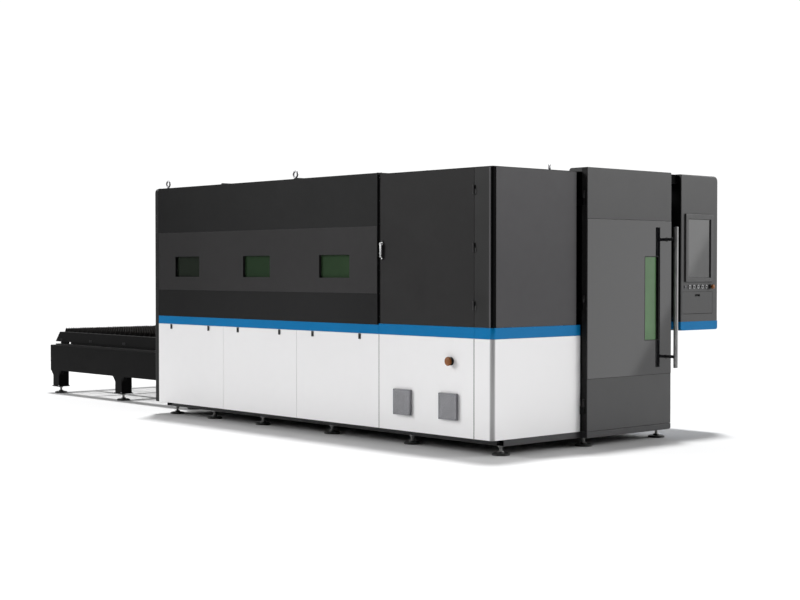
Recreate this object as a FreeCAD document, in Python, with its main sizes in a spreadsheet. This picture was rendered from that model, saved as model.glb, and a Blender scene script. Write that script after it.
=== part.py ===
# Enclosed sheet-metal fiber laser cutting machine with a two-level shuttle table.
# Units are millimetres. The machine is described in shop coordinates: X = 0 is the plane
# of the front end wall, +X runs out of the front door, -X runs back to the shuttle table,
# Y = 0 is the near long side and Z = 0 is the floor.  Every piece is then moved by
# (off_x, off_y) so that the origin is under the middle of the whole machine.
import FreeCAD, Part
import math
import os
import Sketcher

os.makedirs("parts", exist_ok=True)
doc = FreeCAD.newDocument("laser_cutter")
V = FreeCAD.Vector

# ------------------------------------------------------------------ driving dimensions
DIMS = [
    ("off_x", 3745.5, "shift along X to the middle of the machine"),
    ("off_y", -1443.0, "shift along Y to the middle of the machine"),
    ("seam_x", -1300.0, "seam between hood and front cabinet"),
    ("module_len", 1096.5, "length of one hood module"),
    ("rear_in", -4590.0, "inner face of the rear end frame"),
    ("rear_out", -4660.0, "outer face of the rear end frame"),
    ("far_y", 2840.0, "far long side"),
    ("mid_y", 1420.0, "centre line of bed and shuttle table"),
    ("step_x", -560.0, "front face of the wide part, behind the console"),
    ("bay_y", 2103.0, "far edge of the narrow front part"),
    ("hood_top", 2220.0, "top of the hood"),
    ("cab_top", 2210.0, "top of the front part"),
    ("door_top", 2245.0, "top of the front door and header"),
    ("stripe_lo", 897.0, "bottom of the blue stripe"),
    ("stripe_hi", 973.0, "top of the stripe on the hood"),
    ("stripe_front", 983.0, "top of the stripe on the front part"),
    ("skirt_lo", 126.0, "bottom edge of the white skirts"),
    ("base_lo", 75.0, "underside of the base frame"),
    ("sheet", 3.0, "sheet thickness of walls"),
    ("post_x", -196.0, "seam of the corner post"),
    ("win_len", 400.0, "side window length"),
    ("win_lo", 1357.0, "side window bottom"),
    ("win_hi", 1550.0, "side window top"),
    ("reveal", 22.0, "depth of the side window reveal"),
    ("groove_lo", 957.0, "start of the black groove beside the door"),
    ("door_y", 1020.0, "hinge edge of the front door"),
    ("door_lo", 128.0, "bottom of the front door"),
    ("door_face", 60.0, "front face of the front door"),
    ("band_lo", 550.0, "bottom of the glossy door panel"),
    ("band_hi", 1833.0, "top of the glossy door panel"),
    ("dwin_near", 1748.0, "door window near edge"),
    ("dwin_far", 1930.0, "door window far edge"),
    ("dwin_lo", 838.0, "door window bottom"),
    ("dwin_hi", 1534.0, "door window top"),
    ("pull_x", 155.0, "centre of the pull bar"),
    ("pull_y", 2041.0, "centre of the pull bar"),
    ("pull_rad", 19.0, "radius of the pull bar"),
    ("pull_lo", 600.0, "lower end of the pull bar"),
    ("pull_hi", 1782.0, "upper end of the pull bar"),
    ("hinge_x", 31.0, "front door hinge axis"),
    ("hinge_y", 1007.0, "front door hinge axis"),
    ("pin_rad", 5.0, "hinge pin radius"),
    ("pin_gap", 0.05, "radial running clearance of pins"),
    ("con_near", 2313.0, "console near side"),
    ("con_lo", 900.0, "console underside"),
    ("con_stripe", 976.0, "top of the console stripe"),
    ("bed_half", 860.0, "half of the free width between the bed walls"),
    ("bed_wall", 200.0, "width of a bed wall"),
    ("bed_top", 820.0, "top of the bed walls"),
    ("bed_rear", -4500.0, "rear end of the bed"),
    ("bed_front", -900.0, "front end of the bed"),
    ("gantry_x", -1150.0, "centre of the parked gantry"),
    ("gantry_lo", 930.0, "underside of the gantry beam"),
    ("gantry_sec", 260.0, "side of the gantry beam"),
    ("ex_rear", -7655.0, "rear end of the shuttle frame"),
    ("ex_near", 500.0, "near face of the shuttle frame"),
    ("ex_top", 554.0, "top of the shuttle frame"),
    ("ex_under", 262.0, "underside of the shuttle side beams"),
    ("leg", 130.0, "side of a shuttle leg"),
    ("pal_len", 3000.0, "pallet length"),
    ("pal_half", 850.0, "half of the pallet width"),
    ("pal_out", -7665.0, "rear end of the pallet that is outside"),
    ("pal_in", -4450.0, "rear end of the pallet that is inside"),
    ("pal_lo", 591.0, "underside of the upper pallet beams"),
    ("pal_hi", 705.0, "top of the upper pallet beams"),
    ("slat_top", 750.0, "tips of the upper pallet slats"),
    ("slat_half", 775.0, "half of the slat length"),
    ("level_drop", 225.0, "lower pallet below upper pallet"),
    ("ledge_top", 566.0, "top of the upper guide rails"),
    ("foot_rad", 70.0, "radius of a levelling foot"),
]
dims = doc.addObject("Spreadsheet::Sheet", "Dims")
for row, (alias, value, note) in enumerate(DIMS, start=1):
    dims.set("A%d" % row, note)
    dims.set("B%d" % row, repr(value))
    dims.setAlias("B%d" % row, alias)
doc.recompute()


class Q:
    """A length: its present value, and the formula over the sheet that drives it."""

    def __init__(self, value, text):
        self.value, self.text = float(value), text

    def _with(self, other, op, sign):
        o = q(other)
        if op == "+":
            value = self.value + sign * o.value
            text = "%s %s (%s)" % (self.text, "+" if sign > 0 else "-", o.text)
        elif op == "*":
            value, text = self.value * o.value, "(%s) * (%s)" % (self.text, o.text)
        else:
            value, text = self.value / o.value, "(%s) / (%s)" % (self.text, o.text)
        return Q(value, text)

    def __add__(self, o):
        return self._with(o, "+", 1)

    __radd__ = __add__

    def __sub__(self, o):
        return self._with(o, "+", -1)

    def __rsub__(self, o):
        return q(o)._with(self, "+", -1)

    def __mul__(self, o):
        return self._with(o, "*", 1)

    __rmul__ = __mul__

    def __truediv__(self, o):
        return self._with(o, "/", 1)

    def __neg__(self):
        return Q(-self.value, "0 - (%s)" % self.text)


def q(x):
    return x if isinstance(x, Q) else Q(x, repr(float(x)))


class Sheet:
    pass


D = Sheet()
for alias, _value, _note in DIMS:
    setattr(D, alias, Q(float(getattr(dims, alias)), "Dims." + alias))

count = [0]


def name(prefix):
    count[0] += 1
    return "%s_%d" % (prefix, count[0])


def bind(obj, prop, length):
    obj.setExpression(prop, q(length).text)


def box(x0, x1, y0, y1, z0, z1):
    o = doc.addObject("Part::Box", name("box"))
    for prop, a, b in (("Length", x0, x1), ("Width", y0, y1), ("Height", z0, z1)):
        assert q(b).value > q(a).value, (prop, q(a).value, q(b).value)
        bind(o, prop, q(b) - q(a))
    for axis, a in (("x", x0), ("y", y0), ("z", z0)):
        bind(o, "Placement.Base.%s" % axis, a)
    return o


TURN = {
    "z": FreeCAD.Rotation(),
    "x": FreeCAD.Rotation(V(0, 1, 0), 90),
    "y": FreeCAD.Rotation(V(1, 0, 0), -90),
}


def cyl(axis, x, y, z, rad, length):
    """A cylinder that starts at x, y, z and runs along +axis."""
    o = doc.addObject("Part::Cylinder", name("cyl"))
    o.Placement = FreeCAD.Placement(V(0, 0, 0), TURN[axis])
    bind(o, "Radius", rad)
    bind(o, "Height", length)
    for ax, a in (("x", x), ("y", y), ("z", z)):
        bind(o, "Placement.Base.%s" % ax, a)
    return o


def cone(axis, x, y, z, rad_a, rad_b, length):
    o = doc.addObject("Part::Cone", name("cone"))
    o.Placement = FreeCAD.Placement(V(0, 0, 0), TURN[axis])
    bind(o, "Radius1", rad_a)
    bind(o, "Radius2", rad_b)
    bind(o, "Height", length)
    for ax, a in (("x", x), ("y", y), ("z", z)):
        bind(o, "Placement.Base.%s" % ax, a)
    return o


def fuse(*parts):
    if len(parts) == 1:
        return parts[0]
    o = doc.addObject("Part::MultiFuse", name("fuse"))
    o.Shapes = list(parts)
    o.Refine = True
    return o


def cut(base, *tools):
    o = doc.addObject("Part::Cut", name("cut"))
    o.Base = base
    o.Tool = fuse(*tools)
    o.Refine = True
    return o


def group(*parts):
    o = doc.addObject("Part::Compound", name("group"))
    o.Links = list(parts)
    return o


def edges_of(obj, pick):
    """Numbers of the straight edges for which pick(direction, middle point) holds."""
    found = []
    for i, e in enumerate(obj.Shape.Edges, start=1):
        if len(e.Vertexes) != 2 or not isinstance(e.Curve, Part.Line):
            continue
        a, b = e.Vertexes[0].Point, e.Vertexes[1].Point
        d = b - a
        d.normalize()
        m = (a + b) * 0.5
        if pick((abs(d.x), abs(d.y), abs(d.z)), m):
            found.append(i)
    return found


def rounded(obj, pick, rad):
    """obj with the picked edges rounded."""
    doc.recompute()
    found = edges_of(obj, pick)
    assert found, "no edge to round on " + obj.Name
    o = doc.addObject("Part::Fillet", name("round"))
    o.Base = obj
    r = q(rad).value
    o.Edges = [(i, r, r) for i in found]
    return o


NODES = []


def node(label, obj):
    """Names a finished piece and moves it from shop coordinates to the part's own frame."""
    if obj.TypeId in ("Part::Box", "Part::Cylinder", "Part::Cone", "Part::Feature"):
        obj = group(obj)
    obj.Label = label
    bind(obj, "Placement.Base.x", D.off_x)
    bind(obj, "Placement.Base.y", D.off_y)
    NODES.append((label, obj))
    return obj


# ------------------------------------------------------------------ sketch-based pieces
PLANES = {"xy": "XY_Plane", "xz": "XZ_Plane", "yz": "YZ_Plane"}


def new_body(label):
    return doc.addObject("PartDesign::Body", name(label))


def sketch(body, plane, points, circles=(), offset=0):
    """A closed outline (and round holes) whose corners are tied to the sheet."""
    sk = body.newObject("Sketcher::SketchObject", name("sketch"))
    role = PLANES[plane]
    sk.AttachmentSupport = [([f for f in body.Origin.OriginFeatures if f.Role == role][0], "")]
    sk.MapMode = "FlatFace"
    if q(offset).value or isinstance(offset, Q):
        bind(sk, "AttachmentOffset.Base.z", offset)
    pts = [(q(a), q(b)) for a, b in points]
    n = len(pts)
    for i in range(n):
        a, b = pts[i], pts[(i + 1) % n]
        sk.addGeometry(Part.LineSegment(V(a[0].value, a[1].value, 0), V(b[0].value, b[1].value, 0)), False)
    for i in range(n):
        sk.addConstraint(Sketcher.Constraint("Coincident", i, 2, (i + 1) % n, 1))
    for i in range(n):
        for kind, c in (("DistanceX", pts[i][0]), ("DistanceY", pts[i][1])):
            k = sk.addConstraint(Sketcher.Constraint(kind, -1, 1, i, 1, c.value))
            sk.setExpression("Constraints[%d]" % k, c.text)
    for a, b, r in circles:
        a, b, r = q(a), q(b), q(r)
        g = sk.addGeometry(Part.Circle(V(a.value, b.value, 0), V(0, 0, 1), r.value), False)
        for kind, c in (("DistanceX", a), ("DistanceY", b)):
            k = sk.addConstraint(Sketcher.Constraint(kind, -1, 1, g, 3, c.value))
            sk.setExpression("Constraints[%d]" % k, c.text)
        k = sk.addConstraint(Sketcher.Constraint("Radius", g, r.value))
        sk.setExpression("Constraints[%d]" % k, r.text)
    return sk


def pad(body, sk, length, back=False):
    p = body.newObject("PartDesign::Pad", name("pad"))
    p.Profile = sk
    p.Reversed = back
    bind(p, "Length", length)
    sk.Visibility = False
    body.Tip = p
    return p


def pocket(body, sk, length, back=False, through=False):
    p = body.newObject("PartDesign::Pocket", name("pocket"))
    p.Profile = sk
    p.Reversed = back
    if through:
        p.Type = "ThroughAll"
        p.Midplane = True
    else:
        bind(p, "Length", length)
    body.Tip = p
    return p


def pd_fillet(body, pick, rad):
    doc.recompute()
    tip = body.Tip
    found = edges_of(tip, pick)
    assert found, "no edge to round in " + body.Name
    f = body.newObject("PartDesign::Fillet", name("fillet"))
    f.Base = (tip, ["Edge%d" % i for i in found])
    bind(f, "Radius", rad)
    body.Tip = f
    return f


def near(a, b, tol=0.6):
    return abs(a - q(b).value) < tol


T = D.sheet

# ================================================================== base and bed
# Base: 80 x 51 rectangular tubes laid flat, butted and welded, under the skirts.
def tube_x(x0, x1, y0, y1, z0, z1, wall):
    """A rectangular tube along X, open at both ends."""
    return cut(box(x0, x1, y0, y1, z0, z1),
               box(q(x0) - 1, q(x1) + 1, q(y0) + wall, q(y1) - wall, q(z0) + wall, q(z1) - wall))


def tube_y(x0, x1, y0, y1, z0, z1, wall):
    return cut(box(x0, x1, y0, y1, z0, z1),
               box(q(x0) + wall, q(x1) - wall, q(y0) - 1, q(y1) + 1, q(z0) + wall, q(z1) - wall))


z_a, z_b = D.base_lo, D.skirt_lo
beams = []
for y0, x_front in ((130, -86), (420, -86), (1060, -86), (1700, -86), (2015, -86), (2340, -646), (2630, -646)):
    beams.append(tube_x(-4560, x_front, y0, y0 + 80, z_a, z_b, 5))
beams.append(tube_y(-4640, -4561, 130, 2710, z_a, z_b, 5))
beams.append(tube_y(-85, -5, 130, 2095, z_a, z_b, 5))
beams.append(tube_y(-645, -565, 2096, 2710, z_a, z_b, 5))
# Sill under the front door, flush with the leaf, its lower far corner rounded.
body = new_body("door_sill")
pad(body, sketch(body, "yz", [(D.door_y + 2, z_a), (D.bay_y - 2, z_a), (D.bay_y - 2, z_b - 1), (D.door_y + 2, z_b - 1)],
                 offset=-4), D.door_face + 3)
pd_fillet(body, lambda d, m: d[0] > 0.9 and near(m.z, z_a) and near(m.y, D.bay_y - 2), 22)
pocket(body, sketch(body, "xy", [(1, D.door_y + 6), (D.door_face - 5, D.door_y + 6), (D.door_face - 5, D.bay_y - 26), (1, D.bay_y - 26)],
                    offset=z_a), 46, back=True)
beams.append(body)
node("base_frame", group(*beams))

# Levelling feet: round pad, swivel boss, threaded stud and lock nut.
def foot(x, y):
    rad = D.foot_rad
    pad_ = cyl("z", x, y, 0, rad, 12)
    rim = cone("z", x, y, 12, rad, rad - 12, 6)
    boss = cone("z", x, y, 18, 30, 22, 14)
    stud = cyl("z", x, y, 32, 12, D.base_lo - 32)
    nut = doc.addObject("Part::Prism", name("nut"))
    nut.Polygon = 6
    nut.Circumradius = 21
    nut.Height = 14
    bind(nut, "Placement.Base.x", x)
    bind(nut, "Placement.Base.y", y)
    bind(nut, "Placement.Base.z", D.base_lo - 14)
    return fuse(pad_, rim, boss, stud, nut)


FEET = [(-78, 172), (-1080, 170), (-2110, 170), (-3110, 170), (-3880, 170), (-4520, 170),
        (-46, 1100), (-46, 2040), (-605, 2660), (-1700, 2670), (-3110, 2670), (-4520, 2670)]
LEGS = (-7531.0, -6170.0, -4809.0)
feet = [foot(x, y) for x, y in FEET]
for x in LEGS:
    for y in (D.ex_near + D.leg / 2, 2 * D.mid_y - D.ex_near - D.leg / 2):
        feet.append(foot(x, y))
node("levelling_feet", group(*feet))

# Bed: two long box-section walls tied by cross tubes.
near_in, far_in = D.mid_y - D.bed_half, D.mid_y + D.bed_half
walls = [tube_x(D.bed_rear, D.bed_front, near_in - D.bed_wall, near_in, D.skirt_lo, D.bed_top, 12),
         tube_x(D.bed_rear, D.bed_front, far_in, far_in + D.bed_wall, D.skirt_lo, D.bed_top, 12)]
for x in (-4440, -3740, -3040, -2340, -1640, -1020):
    walls.append(tube_y(x, x + 120, near_in, far_in, 130, 288, 8))
node("machine_bed", group(*walls))

# Guide rails for both pallets: 80 x 48 x 8 angles on the inner faces.
guides = []
for drop, web in ((q(0), 44), (D.level_drop, 18)):
    top = D.ledge_top - drop
    for x0, x1 in ((-4586, -1430), (D.ex_rear + 10, D.rear_out - 6)):
        guides.append(fuse(box(x0, x1, near_in, near_in + 72, top - 8, top),
                           box(x0, x1, near_in, near_in + 8, top - web, top)))
        guides.append(fuse(box(x0, x1, far_in - 72, far_in, top - 8, top),
                           box(x0, x1, far_in - 8, far_in, top - web, top)))
node("pallet_guides", group(*guides))

# Linear rails of the long axis.
rails = [box(-4480, -920, y - 15, y + 15, D.bed_top, D.bed_top + 30)
         for y in (near_in - D.bed_wall / 2, far_in + D.bed_wall / 2)]
node("x_rails", group(*rails))

# ================================================================== enclosure
# Rear end frame: a folded tray with the letterbox opening for both pallets.
body = new_body("rear_end_frame")
pad(body, sketch(body, "yz", [(0, D.skirt_lo), (D.far_y, D.skirt_lo), (D.far_y, D.hood_top), (0, D.hood_top)],
                 offset=D.rear_out), D.rear_in - D.rear_out)
pd_fillet(body, lambda d, m: d[1] > 0.9 and near(m.x, D.rear_out) and near(m.z, D.hood_top), 40)
pocket(body, sketch(body, "yz", [(T, D.skirt_lo + T), (D.far_y - T, D.skirt_lo + T),
                                 (D.far_y - T, D.hood_top - 40), (T, D.hood_top - 40)],
                    offset=D.rear_in), D.rear_in - D.rear_out - T)
pd_fillet(body, lambda d, m: d[2] > 0.9 and near(m.x, D.rear_out + T), 17)
pd_fillet(body, lambda d, m: d[2] > 0.9 and near(m.x, D.rear_out), 20)
pocket(body, sketch(body, "yz", [(480, 300), (2360, 300), (2360, 800), (480, 800)], offset=D.rear_in), 100)
lip = cut(box(D.rear_out + T, D.rear_out + 43, 477, 2363, 297, 803),
          box(D.rear_out - 10, D.rear_out + 60, 480, 2360, 300, 800))
node("rear_end_frame", fuse(body, lip))

# Brush strip that hangs over the pallet opening.
curtain = [box(-4640, -4632, 484 + 104 * i, 484 + 104 * i + 100, 756, 799) for i in range(18)]
rail = box(-4646, -4641, 484, 2356, 770, 799)
node("gate_curtain", group(rail, *curtain))

# Hood wall on the near side: one folded sheet with three window reveals.
WINS = (-1877, -2981, -4088)
body = new_body("hood_near_wall")
x0, x1 = D.rear_in + 1, D.seam_x - 21
z0, z1 = D.stripe_hi + 1, D.hood_top - 3
pad(body, sketch(body, "xz", [(x0, z0), (x1, z0), (x1, z1), (x0, z1)]), T, back=True)
flange = [box(x0, x1, T, 40, z1 - T, z1), box(x0, x1, T, 40, z0, z0 + T), box(x1 - T, x1, T, 24, z0, z1)]
reveals, holes = [], []
for c in WINS:
    a, b = c - D.win_len / 2, c + D.win_len / 2
    reveals.append(box(a - 4, b + 4, 0, D.reveal, D.win_lo - 4, D.win_hi + 4))
    holes.append(box(a, b, -10, 60, D.win_lo, D.win_hi))
node("hood_near_wall", cut(fuse(body, *(flange + reveals)), *holes))

# Hood frame: 60 x 60 x 4 square tubes, posts on the base beams, rails behind the sheets.
POSTS = (-4587, -3523, -2427, -1384)
bars = []
for y_post, y_rail, y_stub in ((140, 42, 102), (2640, 2738, 2700)):
    for x in POSTS:
        bars.append((x, x + 60, y_post, y_post + 60, D.skirt_lo, 2214))
        for z in (905, 2154):
            bars.append((x, x + 60, y_stub, y_stub + 38, z, z + 60))
    for z in (905, 2154):
        bars.append((POSTS[0], POSTS[-1] + 60, y_rail, y_rail + 60, z, z + 60))
for x in POSTS:
    bars.append((x, x + 60, 200, 2640, 2154, 2214))


def square_tube(x0, x1, y0, y1, z0, z1, wall=4):
    """A square tube along its longest side, open at both ends."""
    spans = [q(x1).value - q(x0).value, q(y1).value - q(y0).value, q(z1).value - q(z0).value]
    run = spans.index(max(spans)) if max(spans) > 60 else 1
    ins = [wall, wall, wall]
    ins[run] = -1
    return cut(box(x0, x1, y0, y1, z0, z1),
               box(q(x0) + ins[0], q(x1) - ins[0], q(y0) + ins[1], q(y1) - ins[1], q(z0) + ins[2], q(z1) - ins[2]))


node("hood_frame", group(*[square_tube(*b) for b in bars]))

# Laser-safe acrylic panes behind the reveals.
panes = [box(c - D.win_len / 2 - 20, c + D.win_len / 2 + 20, D.reveal, D.reveal + 5, D.win_lo - 20, D.win_hi + 20)
         for c in WINS]
node("near_windows", group(*panes))

# Hood roof with a folded drop at its front edge.
roof = fuse(box(D.rear_in + 1, D.seam_x - 21, 0, D.far_y, D.hood_top - 3, D.hood_top),
            box(D.seam_x - 24, D.seam_x - 21, 41, D.far_y - 41, D.cab_top - 3, D.hood_top - 3))
hood_roof = roof


def folded(label, points, z0, z1, rounds):
    """A sheet folded along a plan outline: padded from z0 to z1, with its corners rounded."""
    b = new_body(label)
    pad(b, sketch(b, "xy", points, offset=z0), q(z1) - q(z0))
    for x, y, rad in rounds:
        pd_fillet(b, lambda d, m, x=x, y=y: d[2] > 0.9 and near(m.x, x) and near(m.y, y), rad)
    return b


def front_fold(label, z0, z1):
    pts = [(D.post_x + 1, 0), (0, 0), (0, D.door_y - 3), (-50, D.door_y - 3),
           (-50, D.door_y - 3 - T), (-T, D.door_y - 3 - T), (-T, T), (D.post_x + 1, T)]
    return folded(label, pts, z0, z1, [(0, 0, 35), (-T, T, 32), (0, D.door_y - 3, 20), (-T, D.door_y - 3 - T, 17)])


def far_fold(label, z0, z1, z_rear=None):
    """The far side: long wall, step behind the console, and the cheek of the front part."""
    pts = [(D.rear_in + 1, D.far_y), (D.rear_in + 1, D.far_y - T), (D.step_x - T, D.far_y - T),
           (D.step_x - T, D.bay_y - T), (-142, D.bay_y - T), (-142, D.bay_y), (D.step_x, D.bay_y),
           (D.step_x, D.far_y)]
    return folded(label, pts, z0, z1, [])


# Blue stripes: near hood, round the front corner, far side and console.
stripe_near = box(D.rear_in + 1, D.seam_x - 2, 0, T, D.stripe_lo, D.stripe_hi)
stripe_cab = box(D.seam_x - 1, D.post_x, 0, T, D.stripe_lo, D.stripe_front)
stripe_front = front_fold("stripe_front", D.stripe_lo, D.stripe_front)
stripe_far = far_fold("stripe_far", D.stripe_lo, D.stripe_hi)
body = new_body("console_stripe")
pad(body, sketch(body, "yz", [(D.con_near, D.con_lo), (D.far_y - 1, D.con_lo), (D.far_y - 1, D.con_stripe), (D.con_near, D.con_stripe)],
                 offset=D.step_x + 1), -(D.step_x + 1))
pd_fillet(body, lambda d, m: d[0] > 0.9 and near(m.z, D.con_lo), 22)
pocket(body, sketch(body, "xy", [(D.step_x + 1 + T, D.con_near + T), (-T, D.con_near + T), (-T, D.far_y - 1 - T), (D.step_x + 1 + T, D.far_y - 1 - T)],
                    offset=D.con_stripe), D.con_stripe - D.con_lo - T)
node("blue_stripes", group(stripe_near, stripe_cab, stripe_front, stripe_far, body))


# White skirts: trays with 22 mm returns, hung side by side.
def tray(x0, x1, z0, z1, depth=24):
    x0, x1, z0, z1 = q(x0), q(x1), q(z0), q(z1)
    return cut(box(x0, x1, 0, depth, z0, z1),
               box(x0 + 2.5, x1 - 2.5, T, depth + 5, z0 + 2.5, z1 - 2.5))


skirts = []
for i in range(3):
    a = D.seam_x - D.module_len * (i + 1)
    skirts.append(tray(a + 1.5, a + D.module_len - 1.5, D.skirt_lo, D.stripe_lo - 1))
node("near_skirts", group(*skirts))

# Hanger clips near the top corners of the skirts.
clips = []
for i in range(3):
    a = D.seam_x - D.module_len * (i + 1)
    for x in (a + 227, a + D.module_len - 243):
        clips.append(fuse(box(x - 13, x + 13, -6, 0, D.stripe_lo - 48, D.stripe_lo - 2),
                          box(x - 9, x + 9, -9, -6, D.stripe_lo - 42, D.stripe_lo - 12)))
node("skirt_clips", group(*clips))

# Cabinet skirt with two ventilation cut-outs and the hole of the emergency stop.
VENTS = (-1001, -469)
skirt = cut(tray(D.seam_x + 1.5, D.post_x - 1.5, D.skirt_lo, D.stripe_lo - 1),
            *([box(c - 80, c + 80, -5, 10, 279, 439) for c in VENTS] + [cyl("y", -450, -5, 713, 11, 20)]))
node("cabinet_skirt", skirt)

node("front_skirt", cut(front_fold("front_skirt", D.skirt_lo, D.stripe_lo - 1),
                        box(-70, 10, D.hinge_y - 7, D.door_y + 2, 264, 334)))

# Dark panels of the front part.
post_panel = fuse(box(D.post_x + 1, -19, 0, T, D.stripe_front + 1, D.cab_top - 4),
                  box(D.post_x + 1, D.post_x + 1 + T, T, 22, D.stripe_front + 1, D.cab_top - 4))
trim_l = folded("corner_trim", [(-18, 1), (-1, 1), (-1, 38), (-4, 38), (-4, 4), (-18, 4)],
                D.stripe_front + 1, D.cab_top - 4, [(-1, 1, 12), (-4, 4, 9)])
trim_seam = fuse(box(D.seam_x - 20, D.seam_x + 16, 25, 28, D.stripe_front + 1, D.cab_top - 4),
                 box(D.seam_x - 20, D.seam_x - 17, 28, 60, D.stripe_front + 1, D.cab_top - 4))
node("black_trims", group(trim_l, trim_seam))
end_panel = fuse(box(-T, 0, 39, D.groove_lo - 1, D.stripe_front + 1, D.cab_top - 4),
                 box(-24, -T, D.groove_lo - 1 - T, D.groove_lo - 1, D.stripe_front + 1, D.cab_top - 4),
                 box(-24, -T, 39, 39 + T, D.stripe_front + 1, D.cab_top - 4))
node("front_dark_panels", group(post_panel, end_panel))

# Door frame: a portal of rectangular tubes around the doorway.
f_top = D.cab_top - 4
inner_l, inner_r = 1075, 2035
outer = fuse(box(-140, -60, D.groove_lo + 1, D.door_y + 2, D.skirt_lo + 1, f_top),
             box(-140, -2, D.door_y + 2, inner_l, D.skirt_lo + 1, f_top),
             box(-140, -2, inner_r, D.bay_y - T - 1, D.skirt_lo + 1, f_top),
             box(-140, -2, inner_l, inner_r, 2095, f_top),
             box(-140, -2, inner_l, inner_r, D.skirt_lo + 1, 170))
hollow = fuse(box(-136, -64, D.groove_lo + 5, D.door_y + 6, D.skirt_lo - 5, f_top - 4),
              box(-136, -6, D.door_y + 6, inner_l - 4, D.skirt_lo - 5, f_top - 4),
              box(-136, -6, inner_r + 4, D.bay_y - T - 5, D.skirt_lo - 5, f_top - 4),
              box(-136, -6, inner_l - 10, inner_r + 10, 2099, f_top - 4),
              box(-136, -6, inner_l - 10, inner_r + 10, D.skirt_lo - 5, 166))
node("door_frame", cut(outer, hollow))

# Header cap on the roof above the door, and the cable bridge to the console.
cap = rounded(box(-139, -1, D.door_y + 2, D.bay_y, D.cab_top, D.door_top),
              lambda d, m: d[1] > 0.9 and near(m.x, -139) and near(m.z, D.door_top), 28)
cap = cut(cap, box(-130, -4, D.door_y + 5, D.bay_y - 3, D.cab_top - 2, D.door_top - 8))
bridge = cut(box(-240, -40, D.bay_y + 1, D.con_near - 1, 2165, D.door_top - 3),
             box(-236, -44, D.bay_y - 2, D.con_near + 2, 2169, D.door_top - 7))
node("header_cap", group(cap, bridge))

# Roof of the front part.
front_roof = fuse(box(D.seam_x - 20, 0, 0, D.bay_y, D.cab_top - 3, D.cab_top),
                  box(D.seam_x - 20, D.step_x, D.bay_y - 10, D.far_y, D.cab_top - 3, D.cab_top))
node("roof_panels", group(hood_roof, front_roof))

# Electrical cabinet carcass behind the cabinet door and skirt.
c0, c1 = D.seam_x + 17, D.post_x - 1
carcass = cut(box(c0, c1, 29, 318, D.skirt_lo + 1, f_top - 0),
              box(c0 + 3, c1 - 3, 20, 315, D.skirt_lo + 5, 978),
              box(c0 + 3, c1 - 3, 20, 315, 982, f_top - 3))
node("cabinet_frame", carcass)

# Laser source on four pads in the lower part of the cabinet.
src = [rounded(box(-1200, -420, 80, 305, 150, 620), lambda d, m: d[2] > 0.9, 8)]
src += [box(x, x + 60, y, y + 60, D.skirt_lo + 5, 150) for x in (-1180, -500) for y in (90, 235)]
src += [box(-1120, -1100, 62, 80, 280, 420), box(-520, -500, 62, 80, 280, 420)]
node("laser_source", fuse(*src))

# Mounting plate with wiring ducts, drives, breakers and supplies.
plate = [box(-1260, -220, 309, 312, 1010, 2180)]
plate.append(fuse(*([box(-1250, -230, 249, 309, z, z + 60) for z in (1030, 1380, 1730, 2100)] +
                    [box(x, x + 60, 249, 309, 1090, 2100) for x in (-1250, -290)])))
plate += [box(-1150 + 150 * i, -1150 + 150 * i + 110, 130, 309, 1830, 2070) for i in range(5)]
plate += [box(-1160 + 95 * i, -1160 + 95 * i + 78, 200, 309, 1500, 1640) for i in range(8)]
plate += [box(-1160, -940, 150, 309, 1120, 1340), box(-900, -720, 180, 309, 1130, 1330), box(-680, -320, 215, 309, 1180, 1270)]
node("electrical_plate", group(*plate))

# Ventilation covers: hollow louvred boxes with eight slots.
covers = []
for c in VENTS:
    shell = rounded(box(c - 100, c + 100, -25, 0, 255, 463), lambda d, m: d[1] > 0.9, 8)
    slots = [box(c - 82, c + 82, -30, -20, 276 + 21 * k, 276 + 21 * k + 9) for k in range(9)]
    covers.append(cut(shell, box(c - 96, c + 96, -21, 5, 259, 459), *slots))
node("vent_covers", group(*covers))

# Far side: dark upper wall and white skirt, both stepped behind the console.
wall = far_fold("far_wall", D.stripe_hi + 1, D.cab_top - 4)
top = box(D.rear_in + 1, D.seam_x - 22, D.far_y - T, D.far_y, D.cab_top - 4, D.hood_top - 3)
node("far_wall", fuse(wall, top))
OUT_X, OUT_Z = -3900, 520
skirt = cut(far_fold("far_skirt", D.skirt_lo, D.stripe_lo - 1), cyl("y", OUT_X, D.far_y - 20, OUT_Z, 150.5, 40))
node("far_skirt", skirt)

# Round outlet for the extraction duct: flange, narrower neck through the skirt, spigot 80 long.
spigot = cut(fuse(cyl("y", OUT_X, D.far_y, OUT_Z, 190, 4), cyl("y", OUT_X, D.far_y - 3, OUT_Z, 149, 14),
                  cyl("y", OUT_X, D.far_y + 10, OUT_Z, 150, 80)),
             cyl("y", OUT_X, D.far_y - 10, OUT_Z, 147, 120))
node("dust_outlet", spigot)


# Lifting eye bolts: ring, collar and shank foot.
def eye(x, y, z, turn):
    ring = doc.addObject("Part::Torus", name("ring"))
    ring.Radius1 = 28
    ring.Radius2 = 8
    rot = FreeCAD.Rotation(V(0, 0, 1), turn).multiply(FreeCAD.Rotation(V(1, 0, 0), 90))
    ring.Placement = FreeCAD.Placement(V(0, 0, 0), rot)
    for ax, a in (("x", x), ("y", y), ("z", q(z) + 44)):
        bind(ring, "Placement.Base.%s" % ax, a)
    return fuse(ring, cone("z", x, y, z, 19, 12, 14))


EYES = [(-4503, 60, D.hood_top, 0), (-2482, 60, D.hood_top, 0), (-4503, 2780, D.hood_top, 0),
        (-2482, 2780, D.hood_top, 0), (-340, 1010, D.cab_top, -42)]
node("eye_bolts", group(*[eye(*e) for e in EYES]))

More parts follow.
